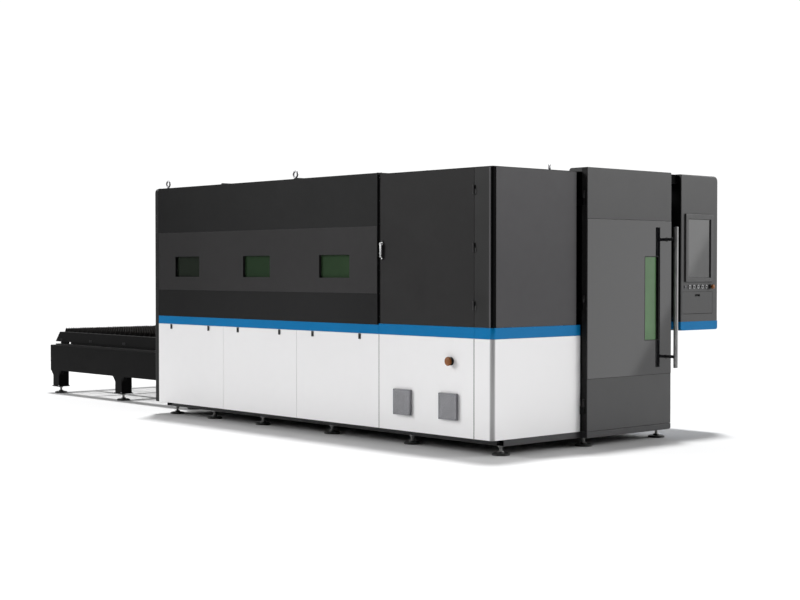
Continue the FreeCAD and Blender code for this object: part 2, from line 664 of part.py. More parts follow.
# ================================================================== console
cn, cf = D.con_near, D.far_y - 1
body = new_body("console_housing")
pad(body, sketch(body, "yz", [(cn, D.con_stripe + 1), (cf, D.con_stripe + 1), (cf, D.door_top), (cn, D.door_top)],
                 offset=D.step_x + 1), -(D.step_x + 1))
pd_fillet(body, lambda d, m: d[0] > 0.9 and near(m.z, D.door_top) and near(m.y, cf), 45)
pd_fillet(body, lambda d, m: d[2] > 0.9 and near(m.x, 0), 10)
# hollow, reached from below
pocket(body, sketch(body, "xy", [(D.step_x + 1 + T, cn + T), (-T, cn + T), (-T, cf - T), (D.step_x + 1 + T, cf - T)],
                    offset=D.con_stripe + 1), 1190, back=True)
shell = body
FLAP_N, FLAP_F, FLAP_LO, FLAP_HI = 2330, 2765, 1043, 1234
SCR_Z0, SCR_Z1 = 1353, 1864
BTN_Z = 1277
BTN_Y = (2432, 2492, 2552, 2612, 2672)
ES_Y = 2735
cuts = [box(-10, 10, FLAP_N, FLAP_F, FLAP_LO - 2, FLAP_HI), box(-10, 10, 2402, 2724, SCR_Z0, SCR_Z1)]
cuts += [cyl("x", -10, y, BTN_Z, 11, 20) for y in BTN_Y + (ES_Y,)]
node("console_housing", cut(shell, *cuts))

bezel = rounded(box(0, 14, 2367, 2760, 1318, 1908), lambda d, m: d[0] > 0.9 or (near(m.x, 14) and d[0] < 0.1), 5)
node("screen_bezel", cut(bezel, box(-5, 20, 2402, 2724, SCR_Z0, SCR_Z1)))
node("display", box(-8, 3, 2402, 2724, SCR_Z0, SCR_Z1))


# Collars of the push buttons and of both emergency stops.
def collar(axis, x, y, z, rad, hole, depth, tail):
    if axis == "x":
        body_ = fuse(cyl("x", x, y, z, rad, depth), cyl("x", q(x) - tail, y, z, 10.9, tail))
        return cut(body_, cyl("x", q(x) - tail - 2, y, z, hole, q(depth) + tail + 10))
    body_ = fuse(cyl("y", x, q(y) - depth, z, rad, depth), cyl("y", x, y, z, 10.9, tail))
    return cut(body_, cyl("y", x, q(y) - depth - 5, z, hole, q(depth) + tail + 10))


collars = [collar("x", 0, y, BTN_Z, 15, 9.3, 5, 30) for y in BTN_Y]
collars.append(collar("x", 0, ES_Y, BTN_Z, 20, 8.3, 10, 30))
collars.append(collar("y", -450, 0, 713, 26, 8.3, 12, 30))
node("control_collars", group(*collars))

# ================================================================== shuttle table
# Side beams on three legs each; the legs flare out under the beam in rounded gussets.
x_front = D.rear_out - 4
far_face = 2 * D.mid_y - D.ex_near
FLARE = 55


def flared_leg(x, y0):
    b = new_body("leg")
    w = D.leg / 2
    pts = [(x - w, D.base_lo), (x + w, D.base_lo), (x + w, D.ex_under - 4), (x + w + FLARE, D.ex_under - 4), (x + w + FLARE, D.ex_under),
           (x - w - FLARE, D.ex_under), (x - w - FLARE, D.ex_under - 4), (x - w, D.ex_under - 4)]
    pad(b, sketch(b, "xz", pts, offset=-y0), 60, back=True)
    pd_fillet(b, lambda d, m: d[1] > 0.9 and near(m.z, D.ex_under - 4) and abs(m.x - q(x).value) < 70, 50)
    return b


sides = []
for y0, inner0, inner1 in ((D.ex_near, D.ex_near + 60, D.ex_near + D.leg), (far_face - 60, far_face - D.leg, far_face - 60)):
    sides.append(rounded(box(D.ex_rear, x_front, y0, y0 + 60, D.ex_under, D.ex_top), lambda d, m: d[0] > 0.9 and near(m.z, D.ex_top), 6))
    for x in LEGS:
        sides.append(fuse(flared_leg(x, y0), box(x - 65, x + 65, inner0, inner1, D.base_lo, D.ex_under)))
node("exchange_sides", group(*sides))

cross = [tube_y(x - 50, x + 50, D.ex_near + 60, far_face - 60, 264, 322, 6) for x in (-7560, -6170, -4809)]
ties = [tube_x(x0, x1, y, y + 60, 266, 320, 5) for x0, x1 in ((-7510, -6220), (-6120, -4859)) for y in (1000, 1780)]
node("exchange_cross_beams", group(*(cross + ties)))

# Gearmotor that pulls the pallets, on the rear cross beam.
motor = fuse(box(-7620, -7500, 1960, 2080, 164, 264), cyl("x", -7500, 2020, 212, 48, 240),
             cyl("y", -7560, 1400, 212, 15, 560), cyl("y", -7560, 1382, 212, 34, 18))
node("exchange_drive", motor)

# ================================================================== hinges (fixed halves)
HZ = (330, 1165, 2000)
fixed = []
for z in HZ:
    plate_ = box(-59, D.hinge_x - 6, D.hinge_y - 4, D.hinge_y + 4, z - 60, z - 2)
    barrel = cyl("z", D.hinge_x, D.hinge_y, z - 60, 9.5, 58)
    pin = cyl("z", D.hinge_x, D.hinge_y, z - 2, D.pin_rad, 60)
    root = box(-60, -52, D.hinge_y - 20, D.hinge_y + 13, z - 60, z + 58)
    fixed.append(fuse(plate_, barrel, pin, root))
door_fixed = fixed

CHZ = (1150, 1595, 2040)
CHX, CHY = D.post_x - 0.5, q(-8)
fixed = []
for z in CHZ:
    fixed.append(fuse(cyl("z", CHX, CHY, z - 35, 7, 34), cyl("z", CHX, CHY, z - 1, 4, 36),
                      box(CHX + 3, CHX + 26, -3, 0, z - 35, z - 1), box(CHX, CHX + 8, -9, -1, z - 35, z - 1)))
node("fixed_hinge_halves", group(*(door_fixed + fixed)))

# ================================================================== front door
dy0, dy1, dz0, dz1, dx = D.door_y, D.bay_y, D.door_lo, D.door_top, D.door_face
skin = rounded(box(2, dx - 1.5, dy0, dy1, dz0, dz1), lambda d, m: d[2] > 0.9 and near(m.x, dx - 1.5), 6)
skin = cut(skin, box(0, dx - 4, dy0 + 2.5, dy1 - 2.5, dz0 + 2.5, dz1 - 2.5))
ret = [box(2, 4.5, dy0 + 2.5, dy0 + 40, dz0 + 2.5, dz1 - 2.5), box(2, 4.5, dy1 - 40, dy1 - 2.5, dz0 + 2.5, dz1 - 2.5),
       box(2, 4.5, dy0 + 40, dy1 - 40, dz0 + 2.5, dz0 + 40), box(2, 4.5, dy0 + 40, dy1 - 40, dz1 - 40, dz1 - 2.5)]
frame_in = cut(box(20, dx - 4, D.dwin_near - 3, D.dwin_far + 3, D.dwin_lo - 3, D.dwin_hi + 3),
               box(10, dx + 4, D.dwin_near, D.dwin_far, D.dwin_lo, D.dwin_hi))
knuckles = []
for z in HZ:
    knuckles.append(cyl("z", D.hinge_x, D.hinge_y, z, 9.5, 58))
    knuckles.append(box(D.hinge_x - 9, D.hinge_x + 9, D.hinge_y + 5, dy0, z, z + 58))
skin = fuse(skin, frame_in, *(ret + knuckles))
skin = cut(skin, box(10, dx + 4, D.dwin_near, D.dwin_far, D.dwin_lo, D.dwin_hi),
           *[cyl("z", D.hinge_x, D.hinge_y, z - 1, D.pin_rad + D.pin_gap, 61) for z in HZ])
node("front_door_skin", skin)
node("door_gloss_panel", cut(box(dx - 1.5, dx, dy0 + 3, dy1 - 3, D.band_lo, D.band_hi),
                             box(dx - 5, dx + 5, D.dwin_near, D.dwin_far, D.dwin_lo, D.dwin_hi),
                             cyl("x", dx - 5, D.pull_y, 692, 13, 10), cyl("x", dx - 5, D.pull_y, 1680, 13, 10)))
node("door_window", box(dx - 10, dx - 4, D.dwin_near, D.dwin_far, D.dwin_lo, D.dwin_hi))

# Tubular pull: polished bar with end caps, on two black posts.
px, py = D.pull_x, D.pull_y
bar = cut(cyl("z", px, py, D.pull_lo, D.pull_rad, D.pull_hi - D.pull_lo),
          cyl("z", px, py, D.pull_lo + 6, D.pull_rad - 2, D.pull_hi - D.pull_lo - 12),
          cyl("x", px - 40, py, 692, 13, 40), cyl("x", px - 40, py, 1680, 13, 40))
node("door_pull_bar", bar)
posts = []
for z in (692, 1680):
    posts.append(cyl("x", dx - 1.5, py, z, 13, px - dx + 1.5))
node("door_pull_posts", group(*posts))

# ================================================================== cabinet door
cx0, cx1, cz0, cz1 = D.seam_x + 17.5, D.post_x - 2, D.stripe_front + 2, D.cab_top - 5
leaf = cut(box(cx0, cx1, 0, 22, cz0, cz1), box(cx0 + 2.5, cx1 - 2.5, 2.5, 30, cz0 + 2.5, cz1 - 2.5))
leaf_parts = [leaf, box(cx0 + 2.5, cx1 - 2.5, 19.5, 22, cz0 + 2.5, cz0 + 30), box(cx0 + 2.5, cx1 - 2.5, 19.5, 22, cz1 - 30, cz1 - 2.5)]
for z in CHZ:
    leaf_parts.append(cyl("z", CHX, CHY, z, 7, 34))
    leaf_parts.append(box(CHX - 8, CHX, -9, -1, z, z + 34))
    leaf_parts.append(box(CHX - 26, CHX - 3, -3, 0, z, z + 34))
HX, HZc = -1258, 1636
leaf_parts += [rounded(box(HX - 16, HX + 16, -6, 0, 1505, 1665), lambda d, m: d[1] > 0.9, 15), cyl("y", HX, -6, HZc, 15, 18)]
door = cut(fuse(*leaf_parts), *([cyl("z", CHX, CHY, z - 1, 4 + D.pin_gap, 36) for z in CHZ] + [cyl("y", HX, -10, HZc, 7.05, 30)]))
node("cabinet_door", door)
lever = fuse(cyl("y", HX, -20, HZc, 7, 45), cyl("y", HX, -22, HZc, 13, 12),
             rounded(box(HX - 9, HX + 9, -24, -12, 1524, HZc), lambda d, m: d[1] > 0.9, 8.5),
             box(HX - 20, HX + 20, 20, 25, HZc - 8, HZc + 8))
node("cabinet_handle", lever)

# ================================================================== push buttons
def mushroom(axis, x, y, z, rad, sleeve):
    """Emergency stop head on its stem, standing off the panel."""
    if axis == "x":
        parts = [cyl("x", -24, y, z, 8, 40), cone("x", 14, y, z, rad * 0.55, rad, 10), cyl("x", 24, y, z, rad, 9),
                 cone("x", 33, y, z, rad, rad * 0.72, 6)]
    else:
        parts = [cyl("y", x, -16, z, 8, 42), cone("y", x, -28, z, rad, rad * 0.55, 12), cyl("y", x, -37, z, rad, 9),
                 cone("y", x, -44, z, rad * 0.72, rad, 7)]
    return fuse(*parts)


node("estop_side", mushroom("y", -450, 0, 713, 36, 22))
node("estop_console", mushroom("x", 0, ES_Y, BTN_Z, 20, 16))
for i, y in enumerate(BTN_Y, start=1):
    node("console_button_%d" % i, fuse(cyl("x", -24, y, BTN_Z, 9, 31), cone("x", 7, y, BTN_Z, 9, 8, 1.5)))

# Keyboard flap, hinged along its bottom edge, with the keyboard on its inner face.
fy0, fy1 = FLAP_N + 1.5, FLAP_F - 1.5
flap = cut(box(-3, 0, fy0, fy1, FLAP_LO + 1, FLAP_HI - 1.5), box(-6, 4, 2513, 2583, 1192, 1212))
cup = cut(box(-14, -3, 2509, 2587, 1188, 1216), box(-11, 5, 2513, 2583, 1192, 1212))
side_l = box(-26, -3, fy0 + 4, fy0 + 7, FLAP_LO + 12, FLAP_HI - 30)
side_r = box(-26, -3, fy1 - 7, fy1 - 4, FLAP_LO + 12, FLAP_HI - 30)
node("keyboard_flap", fuse(flap, cup, side_l, side_r))
node("keyboard", rounded(box(-22, -3, 2345, 2750, 1060, 1182), lambda d, m: d[0] > 0.9, 6))

# ================================================================== gantry and head
gx, half = D.gantry_x, D.gantry_sec / 2
gy0, gy1 = near_in - D.bed_wall - 10, far_in + D.bed_wall + 10
beam = tube_y(gx - half, gx + half, gy0, gy1, D.gantry_lo, D.gantry_lo + D.gantry_sec, 10)
feet_g = []
for y in (near_in - D.bed_wall / 2, far_in + D.bed_wall / 2):
    feet_g.append(box(gx - 180, gx + 180, y - 95, y + 95, 888, D.gantry_lo))
    for x in (gx - 170, gx + 50):
        feet_g.append(cut(box(x, x + 120, y - 35, y + 35, 828, 888), box(x - 5, x + 125, y - 15.5, y + 15.5, 820, 851)))
yr = [box(gx - half - 28, gx - half, 400, 2440, z, z + 28) for z in (970, 1120)]
mot = [cyl("z", gx, gy0 + 90, 1190, 55, 170), cyl("z", gx, gy1 - 90, 1190, 55, 170)]
node("gantry_beam", fuse(beam, *(feet_g + yr + mot)))

hx = gx - half
hy = 1420
plate_c = [box(hx - 64, hx - 34, hy - 110, hy + 110, 930, 1180)]
for z in (970, 1120):
    for y in (hy - 100, hy + 20):
        plate_c.append(cut(box(hx - 34, hx - 4, y, y + 80, z - 20, z + 48), box(hx - 28.5, hx, y - 5, y + 85, z - 0.5, z + 28.5)))
plate_c.append(box(hx - 64, hx - 40, hy - 70, hy + 70, 1180, 1420))
plate_c.append(box(hx - 130, hx - 64, hy - 45, hy + 45, 1400, 1420))
plate_c.append(cyl("z", hx - 97, hy, 1420, 34, 130))
plate_c += [box(hx - 84, hx - 64, y - 9, y + 9, 940, 1398) for y in (hy - 40, hy + 40)]
node("y_carriage", fuse(*plate_c))

head = [box(hx - 112, hx - 85, hy - 60, hy + 60, 1080, 1330),
        rounded(box(hx - 190, hx - 112, hy - 48, hy + 48, 1040, 1300), lambda d, m: d[2] > 0.9, 12),
        cyl("z", hx - 151, hy, 985, 36, 55), cyl("z", hx - 151, hy, 1300, 24, 90), cyl("z", hx - 151, hy, 1390, 15, 60),
        cyl("z", hx - 151, hy, 950, 30, 35), cone("z", hx - 151, hy, 925, 12, 26, 25), cone("z", hx - 151, hy, 905, 4, 12, 20)]
node("cutting_head", fuse(*head))


# ================================================================== pallets
def pallet_frame(label, rear, drop):
    """Two side beams with sloped ends, end beams and three cross ties on sliding shoes."""
    lo, hi = D.pal_lo - drop, D.pal_hi - drop
    front = rear + D.pal_len
    outline = [(rear, lo), (front, lo), (front - 100, hi), (rear + 100, hi)]
    near_y, far_y2 = D.mid_y - D.pal_half, D.mid_y + D.pal_half
    parts = []
    for y0 in (near_y, D.mid_y + D.slat_half):
        b = new_body(label)
        pad(b, sketch(b, "xz", outline, offset=-y0), D.pal_half - D.slat_half, back=True)
        parts.append(b)
    y0, y1 = D.mid_y - D.slat_half, D.mid_y + D.slat_half
    for x in (rear + 106, rear + 760, rear + 1470, rear + 2180, front - 166):
        parts.append(tube_y(x, x + 60, y0, y1, lo, lo + 50, 5))
    shoes = []
    for x in (rear + 120, rear + 1000, rear + 1940, front - 220):
        shoes.append(box(x, x + 100, near_y + 12, near_y + 58, lo - 25, lo))
        shoes.append(box(x, x + 100, far_y2 - 58, far_y2 - 12, lo - 25, lo))
    return group(*(parts + shoes))


def slats(rear, drop):
    """29 upright saw-toothed blades, 100 mm apart, that carry the sheet on their tips."""
    lo = dims.pal_lo - drop + 50
    tip = dims.slat_top - drop
    half_len = dims.slat_half
    mid = dims.mid_y
    teeth = 25
    pitch = 2 * half_len / teeth
    solids = []
    for i in range(29):
        x = rear + 100 + 100 * i - 2.0
        pts_ = [V(x, mid - half_len, lo)]
        pts_.append(V(x, mid - half_len, tip - 26))
        for t in range(teeth):
            y = mid - half_len + t * pitch
            pts_.append(V(x, y + pitch * 0.42, tip))
            pts_.append(V(x, y + pitch * 0.58, tip))
            pts_.append(V(x, y + pitch, tip - 26))
        pts_.append(V(x, mid + half_len, lo))
        pts_.append(pts_[0])
        face = Part.Face(Part.makePolygon(pts_))
        solids.append(face.extrude(V(4, 0, 0)))
    o = doc.addObject("Part::Feature", name("slats"))
    o.Shape = Part.makeCompound(solids)
    return o


node("upper_pallet_frame", pallet_frame("upper_pallet", D.pal_out, q(0)))
node("upper_pallet_slats", slats(dims.pal_out, 0.0))
node("lower_pallet_frame", pallet_frame("lower_pallet", D.pal_in, D.level_drop))
node("lower_pallet_slats", slats(dims.pal_in, dims.level_drop))

# ================================================================== check and write
doc.recompute()
bad = [o.Name for o in doc.Objects if "Invalid" in o.State or "Error" in o.State]
assert not bad, "failed objects: %s" % bad
labels = [n for n, _ in NODES]
assert len(labels) == len(set(labels)) and len(labels) <= 60, len(labels)
whole = None
for label, obj in NODES:
    shape = obj.Shape
    assert not shape.isNull() and shape.isValid(), label
    assert len(shape.Solids) >= 1 and all(s.Volume > 0 for s in shape.Solids), label
    shape.exportStep(os.path.join("parts", label + ".step"))
    bb = shape.BoundBox
    whole = bb if whole is None else whole.united(bb)
    print("%-22s solids %3d  volume %8.4f m3  X %8.1f %8.1f  Y %8.1f %8.1f  Z %7.1f %7.1f" % (
        label, len(shape.Solids), shape.Volume / 1e9, bb.XMin, bb.XMax, bb.YMin, bb.YMax, bb.ZMin, bb.ZMax))
print("nodes", len(NODES), "whole X %.2f %.2f Y %.2f %.2f Z %.2f %.2f" % (
    whole.XMin, whole.XMax, whole.YMin, whole.YMax, whole.ZMin, whole.ZMax))
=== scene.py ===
import math
import random

import bmesh
import bpy
from mathutils import Matrix, Vector


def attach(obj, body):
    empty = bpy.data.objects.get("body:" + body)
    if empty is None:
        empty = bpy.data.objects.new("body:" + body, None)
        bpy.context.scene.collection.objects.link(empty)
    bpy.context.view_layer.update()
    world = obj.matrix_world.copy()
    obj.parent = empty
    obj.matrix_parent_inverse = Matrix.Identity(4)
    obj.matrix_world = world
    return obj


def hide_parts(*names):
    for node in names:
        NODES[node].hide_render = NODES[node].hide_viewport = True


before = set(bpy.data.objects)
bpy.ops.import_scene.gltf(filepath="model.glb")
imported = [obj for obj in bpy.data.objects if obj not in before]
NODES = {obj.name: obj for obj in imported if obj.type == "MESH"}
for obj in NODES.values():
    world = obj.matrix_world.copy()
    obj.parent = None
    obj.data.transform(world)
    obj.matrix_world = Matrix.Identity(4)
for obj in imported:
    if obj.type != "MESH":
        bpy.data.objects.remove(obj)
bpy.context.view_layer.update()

# ============================================================== shop frame
# Shop millimetres: X 0 at the end wall with the door and falling towards the shuttle table,
# Y 0 at the long side with the cabinet door, Z up from the floor.
OX, OY = 3.7455, -1.443


def M(x, y, z):
    return Vector((x * 0.001 + OX, y * 0.001 + OY, z * 0.001))


# ============================================================== materials
class Mat:
    """A Principled material with its nodes, in object coordinates (metres)."""

    def __init__(self, name, rough=0.5, metal=0.0, spec=0.5, ior=1.5, coat=0.0, coat_rough=0.1, trans=0.0):
        self.m = bpy.data.materials.new(name)
        self.m.use_nodes = True
        self.t = self.m.node_tree
        self.t.nodes.clear()
        self.out = self.t.nodes.new("ShaderNodeOutputMaterial")
        self.b = self.t.nodes.new("ShaderNodeBsdfPrincipled")
        self.t.links.new(self.b.outputs["BSDF"], self.out.inputs["Surface"])
        i = self.b.inputs
        i["Roughness"].default_value = rough
        i["Metallic"].default_value = metal
        i["Specular IOR Level"].default_value = spec
        i["IOR"].default_value = ior
        i["Coat Weight"].default_value = coat
        i["Coat Roughness"].default_value = coat_rough
        i["Transmission Weight"].default_value = trans
        tc = self.t.nodes.new("ShaderNodeTexCoord")
        self.pos = tc.outputs["Object"]
        self.last_normal = None
        self._xyz = None

    def node(self, kind, **props):
        n = self.t.nodes.new(kind)
        for k, v in props.items():
            setattr(n, k, v)
        return n

    def put(self, socket, value):
        if isinstance(value, (int, float)):
            socket.default_value = value
        elif isinstance(value, (tuple, list)):
            socket.default_value = (*value, 1.0) if len(value) == 3 and len(socket.default_value) == 4 else value
        else:
            self.t.links.new(value, socket)

    def noise(self, scale, detail=2.0, rough=0.5, vec=None, dist=0.0):
        n = self.node("ShaderNodeTexNoise")
        self.put(n.inputs["Vector"], vec if vec is not None else self.pos)
        n.inputs["Scale"].default_value = scale
        n.inputs["Detail"].default_value = detail
        n.inputs["Roughness"].default_value = rough
        n.inputs["Distortion"].default_value = dist
        return n.outputs["Fac"]

    def cells(self, scale, feature="F1", vec=None, out="Distance", rand=1.0):
        n = self.node("ShaderNodeTexVoronoi", feature=feature)
        self.put(n.inputs["Vector"], vec if vec is not None else self.pos)
        n.inputs["Scale"].default_value = scale
        n.inputs["Randomness"].default_value = rand
        return n.outputs[out]

    def wave(self, scale, axis="X", dist=0.0, vec=None, profile="SIN"):
        n = self.node("ShaderNodeTexWave", bands_direction=axis, wave_profile=profile)
        self.put(n.inputs["Vector"], vec if vec is not None else self.pos)
        n.inputs["Scale"].default_value = scale
        n.inputs["Distortion"].default_value = dist
        return n.outputs["Fac"]

    def stretch(self, sx, sy, sz):
        n = self.node("ShaderNodeMapping")
        self.put(n.inputs["Vector"], self.pos)
        n.inputs["Scale"].default_value = (sx, sy, sz)
        return n.outputs["Vector"]

    def xyz(self):
        if self._xyz is None:
            n = self.node("ShaderNodeSeparateXYZ")
            self.put(n.inputs[0], self.pos)
            self._xyz = n.outputs
        return self._xyz

    def rng(self, v, a, b, c, d, smooth=False):
        n = self.node("ShaderNodeMapRange", interpolation_type="SMOOTHSTEP" if smooth else "LINEAR")
        self.put(n.inputs["Value"], v)
        n.inputs["From Min"].default_value = a
        n.inputs["From Max"].default_value = b
        n.inputs["To Min"].default_value = c
        n.inputs["To Max"].default_value = d
        return n.outputs["Result"]

    def op(self, kind, a, b=0.0, clamp=False):
        n = self.node("ShaderNodeMath", operation=kind, use_clamp=clamp)
        self.put(n.inputs[0], a)
        self.put(n.inputs[1], b)
        return n.outputs[0]

    def mix(self, fac, a, b):
        n = self.node("ShaderNodeMix", data_type="RGBA")
        self.put(n.inputs[0], fac)
        self.put(n.inputs[6], a)
        self.put(n.inputs[7], b)
        return n.outputs[2]

    def color(self, s):
        self.put(self.b.inputs["Base Color"], s)
        return self

    def roughness(self, s):
        self.put(self.b.inputs["Roughness"], s)
        return self

    def metallic(self, s):
        self.put(self.b.inputs["Metallic"], s)
        return self

    def bump(self, height, dist, strength=1.0):
        n = self.node("ShaderNodeBump")
        n.inputs["Strength"].default_value = strength
        n.inputs["Distance"].default_value = dist
        self.put(n.inputs["Height"], height)
        if self.last_normal is not None:
            self.t.links.new(self.last_normal, n.inputs["Normal"])
        self.last_normal = n.outputs["Normal"]
        self.t.links.new(self.last_normal, self.b.inputs["Normal"])
        return self

    def edge(self, radius, lo=0.02, hi=0.25):
        """1 along convex and concave edges, from the difference between the rounded and the true normal."""
        bv = self.node("ShaderNodeBevel", samples=4)
        bv.inputs["Radius"].default_value = radius
        g = self.node("ShaderNodeNewGeometry")
        d = self.node("ShaderNodeVectorMath", operation="DOT_PRODUCT")
        self.t.links.new(bv.outputs[0], d.inputs[0])
        self.t.links.new(g.outputs["Normal"], d.inputs[1])
        return self.rng(self.op("SUBTRACT", 1.0, d.outputs["Value"]), lo, hi, 0.0, 1.0)


def tone(c, k):
    return tuple(min(1.0, v * k) for v in c)


def paint(name, col, rough=0.4, var=0.10, peel=0.00003, sheet=0.0010, spec=0.5, dust=0.0, coat=0.0, coat_rough=0.08, rvar=0.05, parts=(), dull_above=None):
    """Powder coat on sheet steel: slow drift and cloudy variation of tone, orange peel and a slightly wavy sheet.

    parts is [(axis, limit_mm, above, colour), ...]: areas of one node in another colour, used for two-tone paint and
    for painted shade and painted light, split at a shop plane, or fading from the limit to a second place when above is
    a length. Faces higher than dull_above (mm) are duller, with settled dust."""
    m = Mat(name, rough=rough, spec=spec, coat=coat, coat_rough=coat_rough)
    slow, cloud = m.noise(0.9, 2), m.noise(11, 3, 0.6)
    f = m.op("ADD", m.op("MULTIPLY", slow, 0.65), m.op("MULTIPLY", cloud, 0.35))
    c = m.mix(m.rng(f, 0.32, 0.68, 0, 1), tone(col, 1 - var), tone(col, 1 + var))
    for axis, limit, above, other in parts:
        k = "xyz".index(axis)
        at = limit * 0.001 + (OX, OY, 0.0)[k]
        if isinstance(above, bool):
            side = m.rng(m.xyz()[k], at - 0.0003, at + 0.0003, 0 if above else 1, 1 if above else 0)
        else:
            side = m.rng(m.xyz()[k], at, above * 0.001 + (OX, OY, 0.0)[k], 1, 0)
        c = m.mix(side, c, m.mix(m.rng(f, 0.32, 0.68, 0, 1), tone(other, 1 - var), tone(other, 1 + var)))
    if dust:
        grit = m.op("MULTIPLY", m.rng(m.noise(38, 5, 0.7), 0.5, 0.8, 0, 1), m.rng(m.noise(2.3, 2), 0.4, 0.75, 0, 1))
        c = m.mix(m.op("MULTIPLY", grit, dust), c, (0.30, 0.29, 0.27))
    m.color(c)
    r = m.rng(m.noise(4.5, 4, 0.6), 0.3, 0.7, max(0.02, rough - rvar), rough + rvar)
    if dull_above:
        r = m.op("ADD", r, m.rng(m.xyz()[2], dull_above * 0.001 - 0.0015, dull_above * 0.001, 0, 0.32))
    m.roughness(r)
    if peel:
        m.bump(m.noise(430, 2), peel)
    if sheet:
        m.bump(m.noise(2.1, 1), sheet)
    return m.m


def white_paint_corner_shade():
    """White paint of the wrapped front panel, with painted shade: the round corner is painted a darker grey."""
    m = Mat("white_paint_corner_shade", rough=0.34)
    x, y, _ = m.xyz()
    # a: mask of the round corner, where painted shade turns the white to grey (0.41)
    a = m.op("MULTIPLY", m.rng(x, -0.036 + OX, -0.020 + OX, 0, 1, True), m.rng(y, 0.036 + OY, 0.020 + OY, 0, 1, True))
    c = m.mix(m.rng(m.noise(0.9, 2), 0.32, 0.68, 0, 1), (0.825, 0.82, 0.825), (0.845, 0.84, 0.845))
    m.color(m.mix(a, c, (0.41, 0.405, 0.41)))
    m.roughness(m.rng(m.noise(4.5, 4, 0.6), 0.3, 0.7, 0.29, 0.39))
    m.bump(m.noise(430, 2), 0.00003)
    m.bump(m.noise(2.1, 1), 0.0007)
    return m.m


def steel(name, col, rough=0.3, brushed=None, var=0.08, dirt=0.0, dirt_col=(0.10, 0.085, 0.07), spec=0.5):
    """Bare or plated steel, optionally brushed along an axis, with smudges."""
    m = Mat(name, rough=rough, metal=1.0, spec=spec)
    f = m.noise(7, 3)
    c = m.mix(m.rng(f, 0.3, 0.7, 0, 1), tone(col, 1 - var), tone(col, 1 + var))
    r = m.rng(m.noise(9, 4), 0.3, 0.7, rough * 0.8, rough * 1.25)
    if brushed:
        k = {"x": (14, 900, 900), "y": (900, 14, 900), "z": (900, 900, 14)}[brushed]
        g = m.noise(1, 3, 0.6, vec=m.stretch(*k))
        r = m.op("ADD", r, m.rng(g, 0.3, 0.7, -0.07, 0.09))
        m.bump(g, 0.00001)
    else:
        m.bump(m.noise(160, 3), 0.00002)
    if dirt:
        d = m.op("MULTIPLY", m.rng(m.noise(23, 6, 0.7), 0.45, 0.75, 0, 1), dirt)
        c = m.mix(d, c, dirt_col)
        m.metallic(m.op("SUBTRACT", 1.0, m.op("MULTIPLY", d, 0.8)))
        r = m.op("ADD", r, m.op("MULTIPLY", d, 0.3))
    m.color(c)
    m.roughness(r)
    return m.m


def moulded(name, col, rough=0.5, grain=0.00004, scale=700, var=0.08, spec=0.5, coat=0.0):
    """Moulded plastic or rubber with a fine spark-eroded grain."""
    m = Mat(name, rough=rough, spec=spec, coat=coat)
    m.color(m.mix(m.rng(m.noise(16, 3), 0.3, 0.7, 0, 1), tone(col, 1 - var), tone(col, 1 + var)))
    m.roughness(m.rng(m.noise(30, 3), 0.3, 0.7, rough - 0.05, rough + 0.07))
    m.bump(m.cells(scale), grain)
    return m.m


MAT = {}
# painted shade: the hood is painted darker below the band (z 1230) and darkens towards the rear end from x -2400 to
# -4700
MAT["hood"] = paint("hood_paint", (0.0170, 0.0170, 0.0173), rough=0.48, spec=0.088, parts=[("z", 1230, False, (0.0122, 0.0122, 0.0126)), ("x", -4700, -2400, (0.0034, 0.0034, 0.0036))])
# painted shade: the band darkens towards the rear end from x -2400 to -4700
MAT["band"] = paint("hood_band_paint", (0.0305, 0.0295, 0.0302), rough=0.32, spec=0.22, peel=0.000012, rvar=0.0, parts=[("x", -4700, -2400, (0.0200, 0.0192, 0.0197))])
# painted light: the hinge knuckles proud of the leaf (y below -6.5) are painted lighter than the door, standing in for
# light on them
MAT["cabinet"] = paint("cabinet_paint", (0.0180, 0.0173, 0.0176), rough=0.44, spec=0.14, parts=[("y", -6.5, False, (0.050, 0.049, 0.050))])
# painted shade: the post panel on the long side (y below 30) is painted much darker than the end panel of the same
# paint
MAT["front"] = paint("front_panel_paint", (0.0345, 0.0330, 0.0360), rough=0.42, spec=0.33, parts=[("y", 30, False, (0.0040, 0.0038, 0.0039))])
MAT["door"] = paint("door_paint", (0.0285, 0.0285, 0.0295), rough=0.40, spec=0.45, parts=[("y", 1020.6, False, (0.0016, 0.0016, 0.0017))])
MAT["gloss"] = paint("door_gloss_paint", (0.0070, 0.0070, 0.0082), rough=0.035, spec=0.92, peel=0.0, sheet=0.0001, rvar=0.01)
# painted shade: the console's side towards the door (y below 2315) is painted near-black
MAT["console"] = paint("console_paint", (0.031, 0.031, 0.032), rough=0.40, spec=0.48, dull_above=2243.5, parts=[("y", 2315, False, (0.0022, 0.0022, 0.0024))])
MAT["roof"] = paint("roof_paint", (0.0150, 0.0150, 0.0153), rough=0.60, spec=0.26, var=0.06, dust=0.03, rvar=0.02)
MAT["white"] = paint("white_paint", (0.835, 0.83, 0.835), rough=0.34, var=0.012, sheet=0.0007)
MAT["blue"] = paint("blue_paint", (0.0012, 0.157, 0.385), rough=0.34, var=0.06, spec=0.11)
MAT["black"] = paint("black_paint", (0.0016, 0.0016, 0.0018), rough=0.50, spec=0.02)
MAT["table"] = paint("table_paint", (0.0026, 0.0026, 0.0028), rough=0.50, spec=0.05, peel=0.00005)
MAT["base"] = paint("base_paint", (0.030, 0.030, 0.032), rough=0.48, dust=0.08, peel=0.00005, spec=0.4)
MAT["bed"] = paint("bed_paint", (0.30, 0.31, 0.31), rough=0.42, dust=0.25, peel=0.00005)
MAT["beam"] = paint("gantry_paint", (0.52, 0.53, 0.54), rough=0.36, dust=0.05)
MAT["frame"] = paint("frame_paint", (0.16, 0.165, 0.17), rough=0.45, dust=0.15)
MAT["carriage"] = paint("carriage_paint", (0.045, 0.05, 0.055), rough=0.36)
